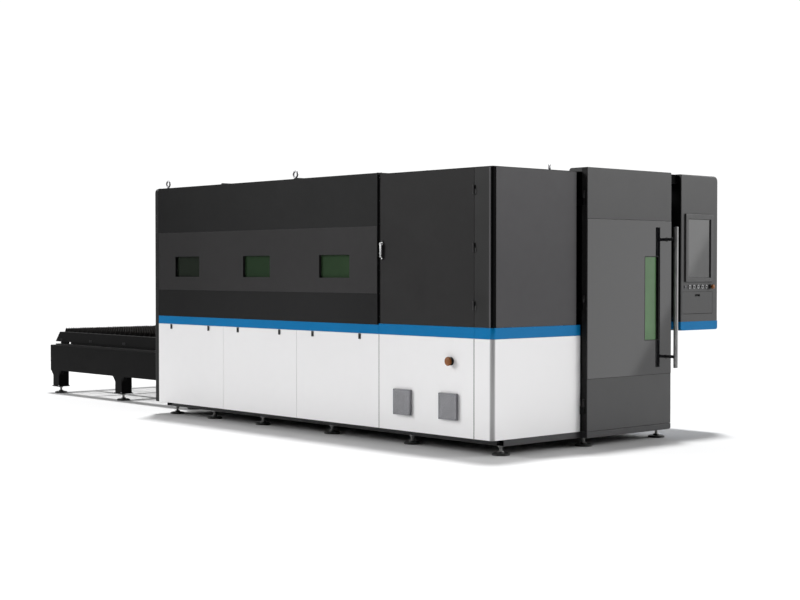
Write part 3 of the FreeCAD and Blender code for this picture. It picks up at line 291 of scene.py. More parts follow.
MAT["inner"] = paint("cabinet_inner_paint", (0.42, 0.42, 0.40), rough=0.5, sheet=0.0004)
MAT["source"] = paint("laser_source_paint", (0.62, 0.62, 0.60), rough=0.38, sheet=0.0003)
MAT["rail"] = steel("rail_steel", (0.55, 0.56, 0.57), rough=0.22, brushed="x", dirt=0.10)
MAT["guide"] = paint("guide_paint", (0.010, 0.010, 0.0105), rough=0.42, dust=0.10, spec=0.25)
MAT["alloy"] = steel("head_alloy", (0.62, 0.63, 0.65), rough=0.30, brushed="z")
MAT["brushed"] = steel("brushed_stainless", (0.36, 0.36, 0.358), rough=0.36, brushed="z", var=0.03)
MAT["chrome"] = steel("satin_chrome", (0.80, 0.80, 0.80), rough=0.34, var=0.03)
MAT["zinc"] = steel("zinc_plate", (0.50, 0.51, 0.52), rough=0.34, var=0.14, dirt=0.08)
MAT["eye"] = steel("eye_bolt_steel", (0.30, 0.30, 0.31), rough=0.34, dirt=0.12)
MAT["screw"] = steel("screw_black_oxide", (0.028, 0.028, 0.030), rough=0.40)
MAT["bolt"] = steel("bolt_zinc", (0.42, 0.42, 0.43), rough=0.32, dirt=0.15)
MAT["rubber"] = moulded("rubber", (0.0065, 0.0065, 0.0065), rough=0.68, grain=0.00006, scale=420, spec=0.35)
MAT["plastic"] = moulded("black_plastic", (0.010, 0.010, 0.0105), rough=0.46)
MAT["bezel"] = moulded("bezel_plastic", (0.042, 0.042, 0.043), rough=0.42, grain=0.00002)
MAT["motor"] = paint("motor_paint", (0.08, 0.085, 0.09), rough=0.42, dust=0.12)
MAT["key_cap"] = moulded("key_caps", (0.028, 0.028, 0.030), rough=0.5)
MAT["relay"] = moulded("relay_plastic", (0.42, 0.43, 0.43), rough=0.45)
MAT["breaker"] = moulded("breaker_plastic", (0.66, 0.66, 0.64), rough=0.42)
MAT["terminal"] = moulded("terminal_plastic", (0.30, 0.31, 0.30), rough=0.5)
MAT["stop"] = moulded("stop_button_plastic", (0.235, 0.078, 0.014), rough=0.40, grain=0.00001, var=0.18, spec=0.3)
MAT["vent_frame"] = moulded("vent_plastic", (0.200, 0.200, 0.216), rough=0.5)
# painted shade: the header cap over the gap between door and console (y above 2103.5) is painted near-black
MAT["header"] = paint("header_paint", (0.030, 0.030, 0.031), rough=0.40, spec=0.46, dull_above=2240.0, parts=[("y", 2103.5, True, (0.0022, 0.0022, 0.0024))])
# painted light: the cabinet hinge halves are painted lighter than the cabinet door, standing in for light on the
# knuckles; the front door halves (y above 0.5) are black
MAT["hinge_half"] = paint("hinge_half_paint", (0.050, 0.049, 0.050), rough=0.44, spec=0.16, parts=[("y", 0.5, True, (0.0016, 0.0016, 0.0018))])
MAT["ring"] = steel("button_ring", (0.36, 0.36, 0.365), rough=0.34, var=0.05)
MAT["lock"] = steel("key_lock", (0.10, 0.10, 0.105), rough=0.36, var=0.05)
MAT["rear"] = paint("rear_end_paint", (0.0220, 0.0220, 0.0228), rough=0.42, spec=0.20, dust=0.05, parts=[("y", 5, False, (0.0045, 0.0045, 0.0047))])
MAT["white_corner"] = white_paint_corner_shade()
MAT["vent_wire"] = moulded("vent_wire_coat", (0.48, 0.48, 0.505), rough=0.45, grain=0.00001)
# lighter grey standing in as a painted highlight on the rolled post edge
MAT["edge_highlight_paint"] = paint("edge_highlight_paint", (0.075, 0.073, 0.077), rough=0.34, spec=0.3, peel=0.00001)
MAT["liner"] = paint("door_liner_paint", (0.030, 0.030, 0.031), rough=0.45)
MAT["button_grey"] = moulded("button_grey", (0.022, 0.022, 0.024), rough=0.36, grain=0.00001)
MAT["bezel_edge"] = moulded("bezel_rim", (0.036, 0.036, 0.037), rough=0.34, grain=0.00001)
MAT["brass"] = steel("nozzle_brass", (0.72, 0.47, 0.20), rough=0.26)
MAT["ceramic"] = moulded("nozzle_ceramic", (0.74, 0.73, 0.70), rough=0.30, grain=0.00001)
MAT["lamp"] = moulded("lamp_diffuser", (0.72, 0.72, 0.71), rough=0.35, grain=0.00001)


def slat_material():
    """Mild steel slats: heat tint and slag spatter on the cut teeth, dull scale below."""
    m = Mat("slat_steel", rough=0.55, metal=0.2, spec=0.2)
    z = m.xyz()[2]
    scale_ = m.mix(m.rng(m.noise(24, 5, 0.65), 0.3, 0.7, 0, 1), (0.0016, 0.0016, 0.0017), (0.0052, 0.0048, 0.0046))
    burnt = m.mix(m.rng(m.noise(55, 5, 0.7), 0.35, 0.7, 0, 1), (0.0028, 0.0024, 0.0022), (0.015, 0.0105, 0.0078))
    # upper pallet tips reach z 0.750, lower pallet tips z 0.525
    near_top = m.rng(z, 0.700, 0.745, 0, 1)
    near_top_low = m.op("MULTIPLY", m.rng(z, 0.475, 0.520, 0, 1), m.rng(z, 0.53, 0.56, 1, 0))
    tip = m.op("MAXIMUM", near_top, near_top_low)
    tip = m.op("MULTIPLY", tip, m.rng(m.noise(30, 3), 0.25, 0.6, 0.35, 1.0))
    m.color(m.mix(tip, scale_, burnt))
    m.roughness(m.rng(m.noise(60, 4), 0.3, 0.7, 0.38, 0.72))
    m.bump(m.cells(260), 0.0003, 0.7)
    m.bump(m.noise(70, 4, 0.6), 0.0003)
    return m.m


def foot_material():
    """Levelling foot: rubber pad on the floor, cast plate, zinc stud and nuts, told apart by height."""
    m = Mat("levelling_foot", rough=0.45)
    z = m.xyz()[2]
    pad = m.rng(z, 0.0105, 0.0115, 1, 0)
    plate = m.mix(m.rng(m.noise(60, 4), 0.3, 0.7, 0, 1), (0.020, 0.022, 0.021), (0.045, 0.047, 0.045))
    zinc = m.mix(m.rng(m.noise(40, 4), 0.3, 0.7, 0, 1), (0.16, 0.16, 0.16), (0.34, 0.34, 0.33))
    stud = m.rng(z, 0.026, 0.028, 0, 1)
    c = m.mix(stud, plate, zinc)
    m.color(m.mix(pad, c, (0.006, 0.006, 0.006)))
    m.metallic(m.op("MULTIPLY", stud, 0.9))
    m.roughness(m.rng(m.noise(50, 4), 0.3, 0.7, 0.34, 0.62))
    m.bump(m.noise(300, 3), 0.0001)
    return m.m


def acrylic(name, col, spec=0.5, trans=0.35, parts=()):
    """Laser-safe acrylic: deep tinted, glossy, faintly hazed and with fine wipe marks."""
    m = Mat(name, rough=0.06, spec=spec, ior=1.49, trans=trans)
    c = m.mix(m.rng(m.noise(5, 3), 0.3, 0.7, 0, 1), tone(col, 0.9), tone(col, 1.12))
    # parts paint areas darker along an axis, as painted shade and painted reflection
    for axis, a, b, other in parts:
        k = "xyz".index(axis)
        o = (OX, OY, 0.0)[k]
        c = m.mix(m.rng(m.xyz()[k], a * 0.001 + o, b * 0.001 + o, 0, 1), c, other)
    m.color(c)
    wipes = m.noise(1, 3, 0.6, vec=m.stretch(9, 9, 160))
    m.roughness(m.rng(m.op("MULTIPLY", wipes, m.noise(3, 2)), 0.15, 0.4, 0.04, 0.13))
    m.bump(m.noise(3.0, 1), 0.0004)
    return m.m


def glass_screen():
    """Black glass over a switched-off panel, a little greasy."""
    m = Mat("screen_glass", rough=0.08, spec=1.0, coat=0.55, coat_rough=0.03)
    m.color(m.mix(m.rng(m.noise(4, 3), 0.3, 0.7, 0, 1), (0.011, 0.0115, 0.012), (0.017, 0.0175, 0.018)))
    m.roughness(m.rng(m.noise(18, 4, 0.7), 0.35, 0.7, 0.025, 0.06))
    m.bump(m.noise(2.4, 1), 0.00003)
    return m.m


def bristle_material():
    m = Mat("brush_bristles", rough=0.75, spec=0.3)
    strands = m.noise(1, 3, 0.7, vec=m.stretch(30, 620, 14))
    m.color(m.mix(m.rng(strands, 0.3, 0.7, 0, 1), (0.003, 0.003, 0.003), (0.022, 0.021, 0.020)))
    m.bump(strands, 0.0012)
    return m.m


def plate_material():
    """Galvanised mounting plate and the light grey modules on it, told apart by depth from the plate."""
    m = Mat("electrical_plate", rough=0.45)
    y = m.xyz()[1]
    front = m.rng(y, (306.0 * 0.001 + OY), (308.6 * 0.001 + OY), 1, 0)
    spangle = m.mix(m.cells(70, out="Color"), (0.30, 0.31, 0.32), (0.48, 0.49, 0.50))
    body = m.mix(m.rng(m.noise(9, 3), 0.3, 0.7, 0, 1), (0.33, 0.335, 0.34), (0.41, 0.415, 0.42))
    m.color(m.mix(front, spangle, body))
    m.metallic(m.rng(front, 0, 1, 0.85, 0.0))
    m.roughness(m.rng(m.noise(30, 3), 0.3, 0.7, 0.36, 0.5))
    m.bump(m.noise(260, 2), 0.00004)
    return m.m


def filter_material():
    m = Mat("filter_mat", rough=0.9, spec=0.2)
    f = m.noise(520, 4, 0.7)
    m.color(m.mix(m.rng(f, 0.3, 0.7, 0, 1), (0.075, 0.075, 0.078), (0.17, 0.17, 0.175)))
    m.bump(f, 0.0012)
    return m.m


MAT["slat"] = slat_material()
MAT["foot"] = foot_material()
# painted shade: the windows further back are painted darker, from x -1700 to -3000 and again at -3600
MAT["pane"] = acrylic("window_acrylic", (0.037, 0.068, 0.034), spec=0.35, trans=0.2, parts=[("x", -1700, -3000, (0.026, 0.050, 0.025)), ("x", -3600, -3650, (0.019, 0.025, 0.018))])
# painted reflection: the strip of the door window beyond y 1898 is painted near-black as the pull bar's reflection
MAT["door_pane"] = acrylic("door_window_acrylic", (0.082, 0.182, 0.072), spec=0.45, trans=0.1, parts=[("y", 1896, 1898, (0.0030, 0.0040, 0.0030))])
MAT["screen"] = glass_screen()
MAT["bristle"] = bristle_material()
MAT["plate"] = plate_material()
MAT["filter"] = filter_material()

CAD_LOOK = {
    "base_frame": "base", "levelling_feet": "foot", "machine_bed": "bed", "pallet_guides": "guide", "x_rails": "rail",
    "rear_end_frame": "rear", "gate_curtain": "bristle", "hood_near_wall": "hood", "hood_frame": "frame",
    "near_windows": "pane", "blue_stripes": "blue", "near_skirts": "white", "skirt_clips": "plastic",
    "cabinet_skirt": "white", "front_skirt": "white_corner", "black_trims": "black", "front_dark_panels": "front",
    "door_frame": "black", "header_cap": "header", "roof_panels": "roof", "cabinet_frame": "inner",
    "laser_source": "source", "electrical_plate": "plate", "vent_covers": "vent_frame", "far_wall": "hood",
    "far_skirt": "white", "dust_outlet": "zinc", "eye_bolts": "eye", "console_housing": "console",
    "screen_bezel": "bezel", "display": "screen", "control_collars": "plastic", "exchange_sides": "table",
    "exchange_cross_beams": "table", "exchange_drive": "motor", "fixed_hinge_halves": "hinge_half",
    "front_door_skin": "door", "door_gloss_panel": "gloss", "door_window": "door_pane", "door_pull_bar": "brushed",
    "door_pull_posts": "plastic", "cabinet_door": "cabinet", "cabinet_handle": "chrome", "estop_side": "stop",
    "estop_console": "stop", "keyboard_flap": "console", "keyboard": "plastic", "gantry_beam": "beam",
    "y_carriage": "carriage", "cutting_head": "alloy", "upper_pallet_frame": "table", "upper_pallet_slats": "slat",
    "lower_pallet_frame": "table", "lower_pallet_slats": "slat",
}
for i in range(1, 6):
    CAD_LOOK["console_button_%d" % i] = "plastic"

# Rounded edges on the sheets and tubes of the frame, in mm.
CAD_EDGE = {
    "base_frame": 3.0, "machine_bed": 3.0, "hood_near_wall": 1.2, "hood_frame": 4.0, "near_skirts": 1.6,
    "cabinet_skirt": 1.6, "front_skirt": 1.2, "front_dark_panels": 1.2, "roof_panels": 1.2, "black_trims": 0.8,
    "door_frame": 1.5, "header_cap": 1.5, "far_wall": 1.2, "far_skirt": 1.6, "cabinet_frame": 1.0,
    "laser_source": 1.5, "electrical_plate": 1.5, "rear_end_frame": 1.2, "blue_stripes": 1.0,
    "console_housing": 1.2, "screen_bezel": 1.2, "exchange_sides": 3.0, "exchange_cross_beams": 3.0,
    "exchange_drive": 2.0, "front_door_skin": 1.5, "door_gloss_panel": 0.5, "cabinet_door": 1.2,
    "keyboard_flap": 0.8, "gantry_beam": 3.0, "y_carriage": 2.0, "cutting_head": 1.5, "upper_pallet_frame": 3.0,
    "lower_pallet_frame": 3.0, "skirt_clips": 1.0, "pallet_guides": 1.5, "x_rails": 1.5, "dust_outlet": 0.8,
    "near_windows": 0.6, "door_window": 0.6, "display": 0.4,
}


def add_bevel(o, width_mm, segments=2, angle=32):
    bev = o.modifiers.new("edges", "BEVEL")
    bev.width = width_mm * 0.001
    bev.segments = segments
    bev.limit_method = "ANGLE"
    bev.angle_limit = math.radians(angle)
    bev.harden_normals = True
    bev.use_clamp_overlap = True
    return bev


for n, look in CAD_LOOK.items():
    o = NODES[n]
    o.data.materials.clear()
    o.data.materials.append(MAT[look])
for n, w in CAD_EDGE.items():
    o = NODES[n]
    weld = o.modifiers.new("weld", "WELD")
    weld.merge_threshold = 0.00002
    flat = o.modifiers.new("flat", "DECIMATE")
    flat.decimate_type = "DISSOLVE"
    flat.angle_limit = math.radians(0.6)
    add_bevel(o, w)

# ============================================================== mesh builder


class Piece:
    """Collects closed shells in shop millimetres and turns them into one object in the row frame."""

    def __init__(self, name, mat):
        self.name = name
        self.bm = bmesh.new()
        self.mats = [mat]
        self.mi = 0

    def mat(self, key):
        if key not in self.mats:
            self.mats.append(key)
        self.mi = self.mats.index(key)
        return self

    def _faces(self, verts, faces):
        vs = [self.bm.verts.new(M(*p)) for p in verts]
        for f in faces:
            try:
                fc = self.bm.faces.new([vs[i] for i in f])
                fc.material_index = self.mi
            except ValueError:
                pass
        return vs

    @staticmethod
    def at(axis, u, v, a):
        return {"x": (a, u, v), "y": (u, a, v), "z": (u, v, a)}[axis]

    def box(self, x0, x1, y0, y1, z0, z1):
        c = [(x0, y0, z0), (x1, y0, z0), (x1, y1, z0), (x0, y1, z0), (x0, y0, z1), (x1, y0, z1), (x1, y1, z1), (x0, y1, z1)]
        self._faces(c, [(0, 3, 2, 1), (4, 5, 6, 7), (0, 1, 5, 4), (1, 2, 6, 5), (2, 3, 7, 6), (3, 0, 4, 7)])
        return self

    def prism(self, axis, pts, a0, a1):
        n = len(pts)
        v = [self.at(axis, u, w, a0) for u, w in pts] + [self.at(axis, u, w, a1) for u, w in pts]
        f = [tuple(range(n))[::-1], tuple(range(n, 2 * n))]
        f += [(i, (i + 1) % n, n + (i + 1) % n, n + i) for i in range(n)]
        self._faces(v, f)
        return self

    def lathe(self, axis, cu, cv, prof, seg=32):
        """prof is [(a, r), ...] from one end to the other; an end with r above 0 is capped."""
        verts, rings = [], []
        for a, r in prof:
            if r <= 0:
                rings.append([len(verts)])
                verts.append(self.at(axis, cu, cv, a))
            else:
                rings.append(list(range(len(verts), len(verts) + seg)))
                for k in range(seg):
                    t = 2 * math.pi * k / seg
                    verts.append(self.at(axis, cu + r * math.cos(t), cv + r * math.sin(t), a))
        faces = []
        for p, q in zip(rings, rings[1:]):
            if len(p) == 1 and len(q) == 1:
                continue
            for k in range(seg):
                k2 = (k + 1) % seg
                if len(p) == 1:
                    faces.append((p[0], q[k2], q[k]))
                elif len(q) == 1:
                    faces.append((p[k], p[k2], q[0]))
                else:
                    faces.append((p[k], p[k2], q[k2], q[k]))
        if len(rings[0]) > 1:
            faces.append(tuple(rings[0][::-1]))
        if len(rings[-1]) > 1:
            faces.append(tuple(rings[-1]))
        self._faces(verts, faces)
        return self

    def cyl(self, axis, cu, cv, a0, a1, r, seg=28, ease=0.0):
        if ease:
            s = 1 if a1 > a0 else -1
            return self.lathe(axis, cu, cv, [(a0, r), (a1 - s * ease, r), (a1 - s * ease * 0.3, r - ease * 0.3), (a1, r - ease)], seg)
        return self.lathe(axis, cu, cv, [(a0, r), (a1, r)], seg)

    def washer(self, axis, cu, cv, a0, a1, ro, ri, seg=32):
        verts, faces = [], []
        for a, r in ((a0, ro), (a1, ro), (a1, ri), (a0, ri)):
            for k in range(seg):
                t = 2 * math.pi * k / seg
                verts.append(self.at(axis, cu + r * math.cos(t), cv + r * math.sin(t), a))
        for j in range(4):
            for k in range(seg):
                k2 = (k + 1) % seg
                j2 = (j + 1) % 4
                faces.append((j * seg + k, j * seg + k2, j2 * seg + k2, j2 * seg + k))
        self._faces(verts, faces)
        return self

    def torus(self, centre, normal, R, r, seg=32, ring=12, arc=2 * math.pi, start=0.0):
        n = Vector(normal).normalized()
        u = n.orthogonal().normalized()
        w = n.cross(u)
        c = Vector(centre)
        closed = abs(arc - 2 * math.pi) < 1e-6
        pts = []
        for k in range(seg if closed else seg + 1):
            t = start + arc * k / seg
            pts.append(c + (u * math.cos(t) + w * math.sin(t)) * R)
        return self.tube(pts, r, ring, closed)

    def tube(self, pts, r, seg=12, closed=False):
        pts = [Vector(p) for p in pts]
        n = len(pts)
        rings, verts = [], []
        up = None
        for i, p in enumerate(pts):
            if closed:
                d = (pts[(i + 1) % n] - pts[i - 1]).normalized()
            else:
                d = (pts[min(i + 1, n - 1)] - pts[max(i - 1, 0)]).normalized()
            if up is None:
                up = d.orthogonal().normalized()
            up = (up - d * up.dot(d)).normalized()
            side = d.cross(up)
            rings.append(len(verts))
            for k in range(seg):
                t = 2 * math.pi * k / seg
                verts.append(tuple(p + (up * math.cos(t) + side * math.sin(t)) * r))
        faces = []
        for i in range(n if closed else n - 1):
            a, b = rings[i], rings[(i + 1) % n]
            for k in range(seg):
                k2 = (k + 1) % seg
                faces.append((a + k, a + k2, b + k2, b + k))
        if not closed:
            faces.append(tuple(range(rings[0], rings[0] + seg))[::-1])
            faces.append(tuple(range(rings[-1], rings[-1] + seg)))
        self._faces(verts, faces)
        return self

    def plate(self, axis, u0, u1, v0, v1, a0, a1, holes=()):
        """A flat plate normal to an axis with rectangular holes (u0, u1, v0, v1)."""
        us = sorted({u0, u1, *[h[0] for h in holes], *[h[1] for h in holes]})
        vs = sorted({v0, v1, *[h[2] for h in holes], *[h[3] for h in holes]})
        solid = {}
        for i in range(len(us) - 1):
            for j in range(len(vs) - 1):
                cu, cv = (us[i] + us[i + 1]) / 2, (vs[j] + vs[j + 1]) / 2
                if not any(h[0] < cu < h[1] and h[2] < cv < h[3] for h in holes):
                    solid[i, j] = True
        idx, verts = {}, []

        def vert(i, j, k):
            if (i, j, k) not in idx:
                idx[i, j, k] = len(verts)
                verts.append(self.at(axis, us[i], vs[j], a1 if k else a0))
            return idx[i, j, k]

        faces = []
        for i, j in solid:
            q = [(i, j), (i + 1, j), (i + 1, j + 1), (i, j + 1)]
            faces.append([vert(a, b, 0) for a, b in q][::-1])
            faces.append([vert(a, b, 1) for a, b in q])
            for (di, dj), (e0, e1) in (((0, -1), (q[0], q[1])), ((1, 0), (q[1], q[2])), ((0, 1), (q[2], q[3])), ((-1, 0), (q[3], q[0]))):
                if (i + di, j + dj) not in solid:
                    faces.append([vert(*e0, 0), vert(*e1, 0), vert(*e1, 1), vert(*e0, 1)])
        self._faces(verts, faces)
        return self

    @staticmethod
    def rounded_rect(u0, u1, v0, v1, r, n=6):
        pts = []
        for cu, cv, s in ((u1 - r, v1 - r, 0), (u0 + r, v1 - r, 90), (u0 + r, v0 + r, 180), (u1 - r, v0 + r, 270)):
            for k in range(n + 1):
                t = math.radians(s + 90 * k / n)
                pts.append((cu + r * math.cos(t), cv + r * math.sin(t)))
        return pts

    def ring(self, axis, outer, ro, inner, ri, a0, a1, n=6):
        """A rounded rectangular frame normal to an axis."""
        o, i = self.rounded_rect(*outer, ro, n), self.rounded_rect(*inner, ri, n)
        c = len(o)
        verts = []
        for pts, a in ((o, a0), (o, a1), (i, a1), (i, a0)):
            verts += [self.at(axis, u, v, a) for u, v in pts]
        faces = []
        for j in range(4):
            j2 = (j + 1) % 4
            for k in range(c):
                k2 = (k + 1) % c
                faces.append((j * c + k, j * c + k2, j2 * c + k2, j2 * c + k))
        self._faces(verts, faces)
        return self

    def slab(self, axis, u0, u1, v0, v1, a0, a1, r, n=6):
        return self.prism(axis, self.rounded_rect(u0, u1, v0, v1, r, n), a0, a1)

    def hexhead(self, axis, cu, cv, a0, a1, af, turn=0.0, washer=True):
        s = 1 if a1 > a0 else -1
        if washer:
            self.cyl(axis, cu, cv, a0, a0 + s * af * 0.09, af * 0.98, 24)
            a0 = a0 + s * af * 0.09
        r = af / math.sqrt(3)
        pts = [(cu + r * math.cos(turn + math.pi / 3 * k), cv + r * math.sin(turn + math.pi / 3 * k)) for k in range(6)]
        small = [(cu + r * 0.9 * math.cos(turn + math.pi / 3 * k), cv + r * 0.9 * math.sin(turn + math.pi / 3 * k)) for k in range(6)]
        top = a1 - s * af * 0.07
        verts = [self.at(axis, u, v, a0) for u, v in pts] + [self.at(axis, u, v, top) for u, v in pts] + [self.at(axis, u, v, a1) for u, v in small]
        faces = [tuple(range(6))[::-1], tuple(range(12, 18))]
        for lvl in (0, 6):
            faces += [(lvl + k, lvl + (k + 1) % 6, lvl + 6 + (k + 1) % 6, lvl + 6 + k) for k in range(6)]
        self._faces(verts, faces)
        return self

    def screw(self, axis, cu, cv, a0, a1, r, seg=20):
        """A domed screw head with a hexagon socket."""
        s = 1 if a1 > a0 else -1
        h = abs(a1 - a0)
        verts, rings = [], []
        prof = [(a0, r), (a0 + s * h * 0.35, r), (a0 + s * h * 0.75, r * 0.86), (a1, r * 0.62), (a1, r * 0.40), (a0 + s * h * 0.35, r * 0.40)]
        for a, rr in prof:
            rings.append(len(verts))
            for k in range(seg):
                t = 2 * math.pi * k / seg
                verts.append(self.at(axis, cu + rr * math.cos(t), cv + rr * math.sin(t), a))
        faces = []
        for p, q in zip(rings, rings[1:]):
            for k in range(seg):
                k2 = (k + 1) % seg
                faces.append((p + k, p + k2, q + k2, q + k))
        faces.append(tuple(range(rings[0], rings[0] + seg))[::-1])
        faces.append(tuple(range(rings[-1], rings[-1] + seg)))
        self._faces(verts, faces)
        return self

    def done(self, body, bevel=0.0, segments=2, smooth=35, replaces=()):
        bmesh.ops.recalc_face_normals(self.bm, faces=self.bm.faces[:])
        me = bpy.data.meshes.new(self.name)
        self.bm.to_mesh(me)
        self.bm.free()
        for k in self.mats:
            me.materials.append(MAT[k])
        me.shade_smooth()
        me.set_sharp_from_angle(angle=math.radians(smooth))
        o = bpy.data.objects.new(self.name, me)
        bpy.context.scene.collection.objects.link(o)
        if bevel:
            add_bevel(o, bevel, segments, 40)
        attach(o, body)
        if replaces:
            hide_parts(*replaces)
        return o


# ============================================================== long side with the cabinet
WINS = (-1877, -2981, -4088)
p = Piece("hood_band", "band")
p.plate("y", -4586, -1324, 1230, 1782, -1.4, 0.4, [(c - 202, c + 202, 1355, 1552) for c in WINS])
p.done("machine", 0.5)

p = Piece("window_gaskets", "rubber")
for c in WINS:
    p.ring("y", (c - 216, c + 216, 1341, 1566), 6, (c - 206, c + 206, 1351, 1556), 5, 27.1, 30.0)
p.done("machine", 0.5)

p = Piece("window_clamps", "zinc")
for c in WINS:
    for sx in (-1, 1):
        for z in (1385, 1522):
            p.box(c + sx * 214 - 9, c + sx * 214 + 9, 30.0, 32.5, z - 14, z + 14)
            p.mat("screw").screw("y", c + sx * 214, z, 32.5, 36.5, 4.5).mat("zinc")
p.done("machine", 0.4)

# Quarter-turn latches on the skirt hangers.
CLIPS = [-1300 - 1096.5 * (i + 1) + d for i in range(3) for d in (227, 853.5)]
p = Piece("joint_seals", "rubber")
p.prism("z", [(-200.4, 1.5), (-200.4, -0.5), (-199.6, -1.0), (-194.4, -1.0), (-193.6, -0.5), (-193.6, 1.5)], 128, 895)
p.prism("z", [(-1302.8, 1.5), (-1302.8, -0.5), (-1302.2, -0.9), (-1297.8, -0.9), (-1297.2, -0.5), (-1297.2, 1.5)], 128, 895)
p.done("machine", 0.0)

p = Piece("joint_channel", "black")
p.box(-1319.4, -1284.6, 9.0, 25.2, 985, 2205)
p.mat("screw")
for z in range(1040, 2200, 190):
    p.screw("y", -1302, z, 9.0, 6.4, 4.5)
p.done("machine", 0.0)

# Tray that closes the console below the keyboard drawer.
p = Piece("console_tray", "liner")
p.box(-552, -34, 2319, 2833, 1027, 1029.5)
p.box(-552, -34, 2319, 2321.5, 1029.5, 1038)
p.box(-552, -34, 2830.5, 2833, 1029.5, 1038)
p.box(-36.5, -34, 2321.5, 2830.5, 1029.5, 1037)
# strips behind the joint between the housing and the stripe
p.box(-5.4, -3.3, 2318.6, 2833, 962, 992)
p.box(-552, -3.3, 2316.3, 2318.6, 962, 992)
p.mat("screw")
for x in (-500, -90):
    for y in (2360, 2790):
        p.screw("z", x, y, 1029.5, 1032.5, 5)
p.done("machine", 0.3)

p = Piece("bridge_cover", "black")
p.plate("x", 2106, 2310, 2167, 2240, -40.0, -38.4)
p.mat("screw")
for y in (2116, 2300):
    for z in (2176, 2231):
        p.screw("x", y, z, -38.4, -36.6, 4.0)
p.done("machine", 0.3)

p = Piece("skirt_latches", "screw")
for x in CLIPS:
    p.screw("y", x, 870, -9.0, -11.6, 6.2)
    p.box(x - 12, x + 12, -7.2, -5.9, 851, 853)
p.done("machine", 0.3)

# Ventilation grilles: deep frame, woven wire, filter mat behind.
p = Piece("vent_grilles", "vent_frame")
for c in (-1001, -469):
    p.mat("vent_frame").ring("y", (c - 100, c + 100, 255, 463), 7, (c - 88, c + 88, 267, 451), 4, -25, -0.2)
    p.mat("vent_wire")
    for k in range(30):
        x = c - 87 + 6 * k
        p.box(x - 1.15, x + 1.15, -24.0, -22.2, 266, 452)
    for k in range(31):
        z = 269 + 6 * k
        p.box(c - 89, c + 89, -22.4, -20.6, z - 1.15, z + 1.15)
    p.mat("filter").box(c - 89, c + 89, -15, -9, 266, 452)
    p.mat("screw")
    for sx in (-1, 1):
        for z in (262, 456):
            p.screw("y", c + sx * 93, z, -25.0, -26.6, 3.2, 16)
p.done("machine", 0.6, replaces=["vent_covers"])

# Emergency stop on the cabinet skirt.
p = Piece("stop_button_side", "stop")
p.lathe("y", -450, 713, [(24, 7.6), (-16.6, 7.6), (-17.0, 18.0), (-18.5, 20.6), (-23.5, 30.0), (-27.2, 34.6), (-29.6, 36.0), (-34.4, 36.0),
                         (-37.4, 34.8), (-40.4, 31.4), (-42.4, 26.6), (-43.2, 21.4), (-42.5, 19.8), (-42.6, 18.2), (-43.4, 16.4), (-43.9, 8.0), (-44.0, 0)], 56)
p.done("side_stop_button", 0, smooth=40, replaces=["estop_side"])

p = Piece("stop_collar_side", "plastic")
p.washer("y", -450, 713, -3.2, -0.1, 33.0, 26.1, 48)
p.done("machine", 0.6)

# Cabinet door: lock plate with key barrel, folded stiffeners, document tray and seals on the inner face.
p = Piece("lock_plate", "plastic")
p.slab("y", -1273.6, -1242.4, 1506, 1664, -7.4, -5.6, 15)
p.mat("chrome").cyl("y", -1258, 1514.5, -7.4, -9.2, 5.4, 24, 0.6)
p.mat("rubber").box(-1258.6, -1257.4, -9.6, -9.1, 1511.6, 1517.4)
p.mat("chrome").washer("y", -1258, 1636, -9.8, -7.3, 14.6, 8.0)
p.done("cabinet_door_leaf", 0.5)

p = Piece("cabinet_door_ribs", "cabinet")
for x in (-980, -520):
    p.box(x - 22, x + 22, 2.6, 15, 1030, 2160)
    p.box(x - 34, x + 34, 2.6, 4.8, 1030, 2160)
p.mat("rubber")
p.box(-1262, -216, 22.0, 27.6, 989, 1007)
p.box(-1262, -216, 22.0, 27.6, 2182, 2200)
p.box(-214, -204, 4.0, 26.6, 1000, 2190)
p.mat("relay")
p.box(-900, -600, 5.0, 7.0, 1120, 1400)
p.box(-900, -600, 15.6, 17.6, 1120, 1330)
p.box(-900, -600, 5.0, 17.6, 1118, 1121)
p.box(-902, -899, 5.0, 17.6, 1118, 1330)
p.box(-601, -598, 5.0, 17.6, 1118, 1330)
p.mat("bolt")
p.hexhead("y", -300, 1045, 2.6, 14, 8)
p.done("cabinet_door_leaf", 0.8)

# Swing lever of the cabinet lock.
p = Piece("swing_lever", "chrome")
outline = []
for k in range(13):
    t = math.pi * k / 12
    outline.append((-1258 + 12.6 * math.cos(t), 1636 + 12.6 * math.sin(t)))
for k in range(13):
    t = math.pi + math.pi * k / 12
    outline.append((-1258 + 8.4 * math.cos(t), 1533 + 8.4 * math.sin(t)))
p.prism("y", outline, -23.8, -15.0)
p.cyl("y", -1258, 1636, -15.2, -10.0, 12.0, 32)
p.cyl("y", -1258, 1636, -12, 24.8, 6.8, 24)
p.mat("screw").screw("y", -1258, 1636, -23.8, -25.0, 4.2)
p.mat("zinc").box(-1277.8, -1238.2, 20.2, 24.8, 1628.3, 1643.7)
p.done("cabinet_lever", 2.2, 3, replaces=["cabinet_handle"])

# Rolled edge of the post panel beside the black corner trim, in lighter paint as a painted highlight along the edge.
p = Piece("post_edge", "edge_highlight_paint")
p.prism("z", [(-37, 0.4), (-37, -0.5), (-33, -1.1), (-24, -1.3), (-20.6, -0.9), (-19.3, 0.4)], 986, 2204)
p.done("machine", 0.0)

# ============================================================== end face and door
HZ = (330, 1165, 2000)
p = Piece("door_edge_seal", "rubber")
p.plate("y", 3.0, 57.0, 131, 2242, 1018.3, 1020.3, [(20, 42, z - 2, z + 60) for z in HZ])
for k in range(4):
    x = 9 + 12 * k
    p.plate("y", x, x + 3, 131, 2242, 1017.4, 1018.5, [(x - 1, x + 4, z - 3, z + 61) for z in HZ])
p.done("front_door", 0.3)

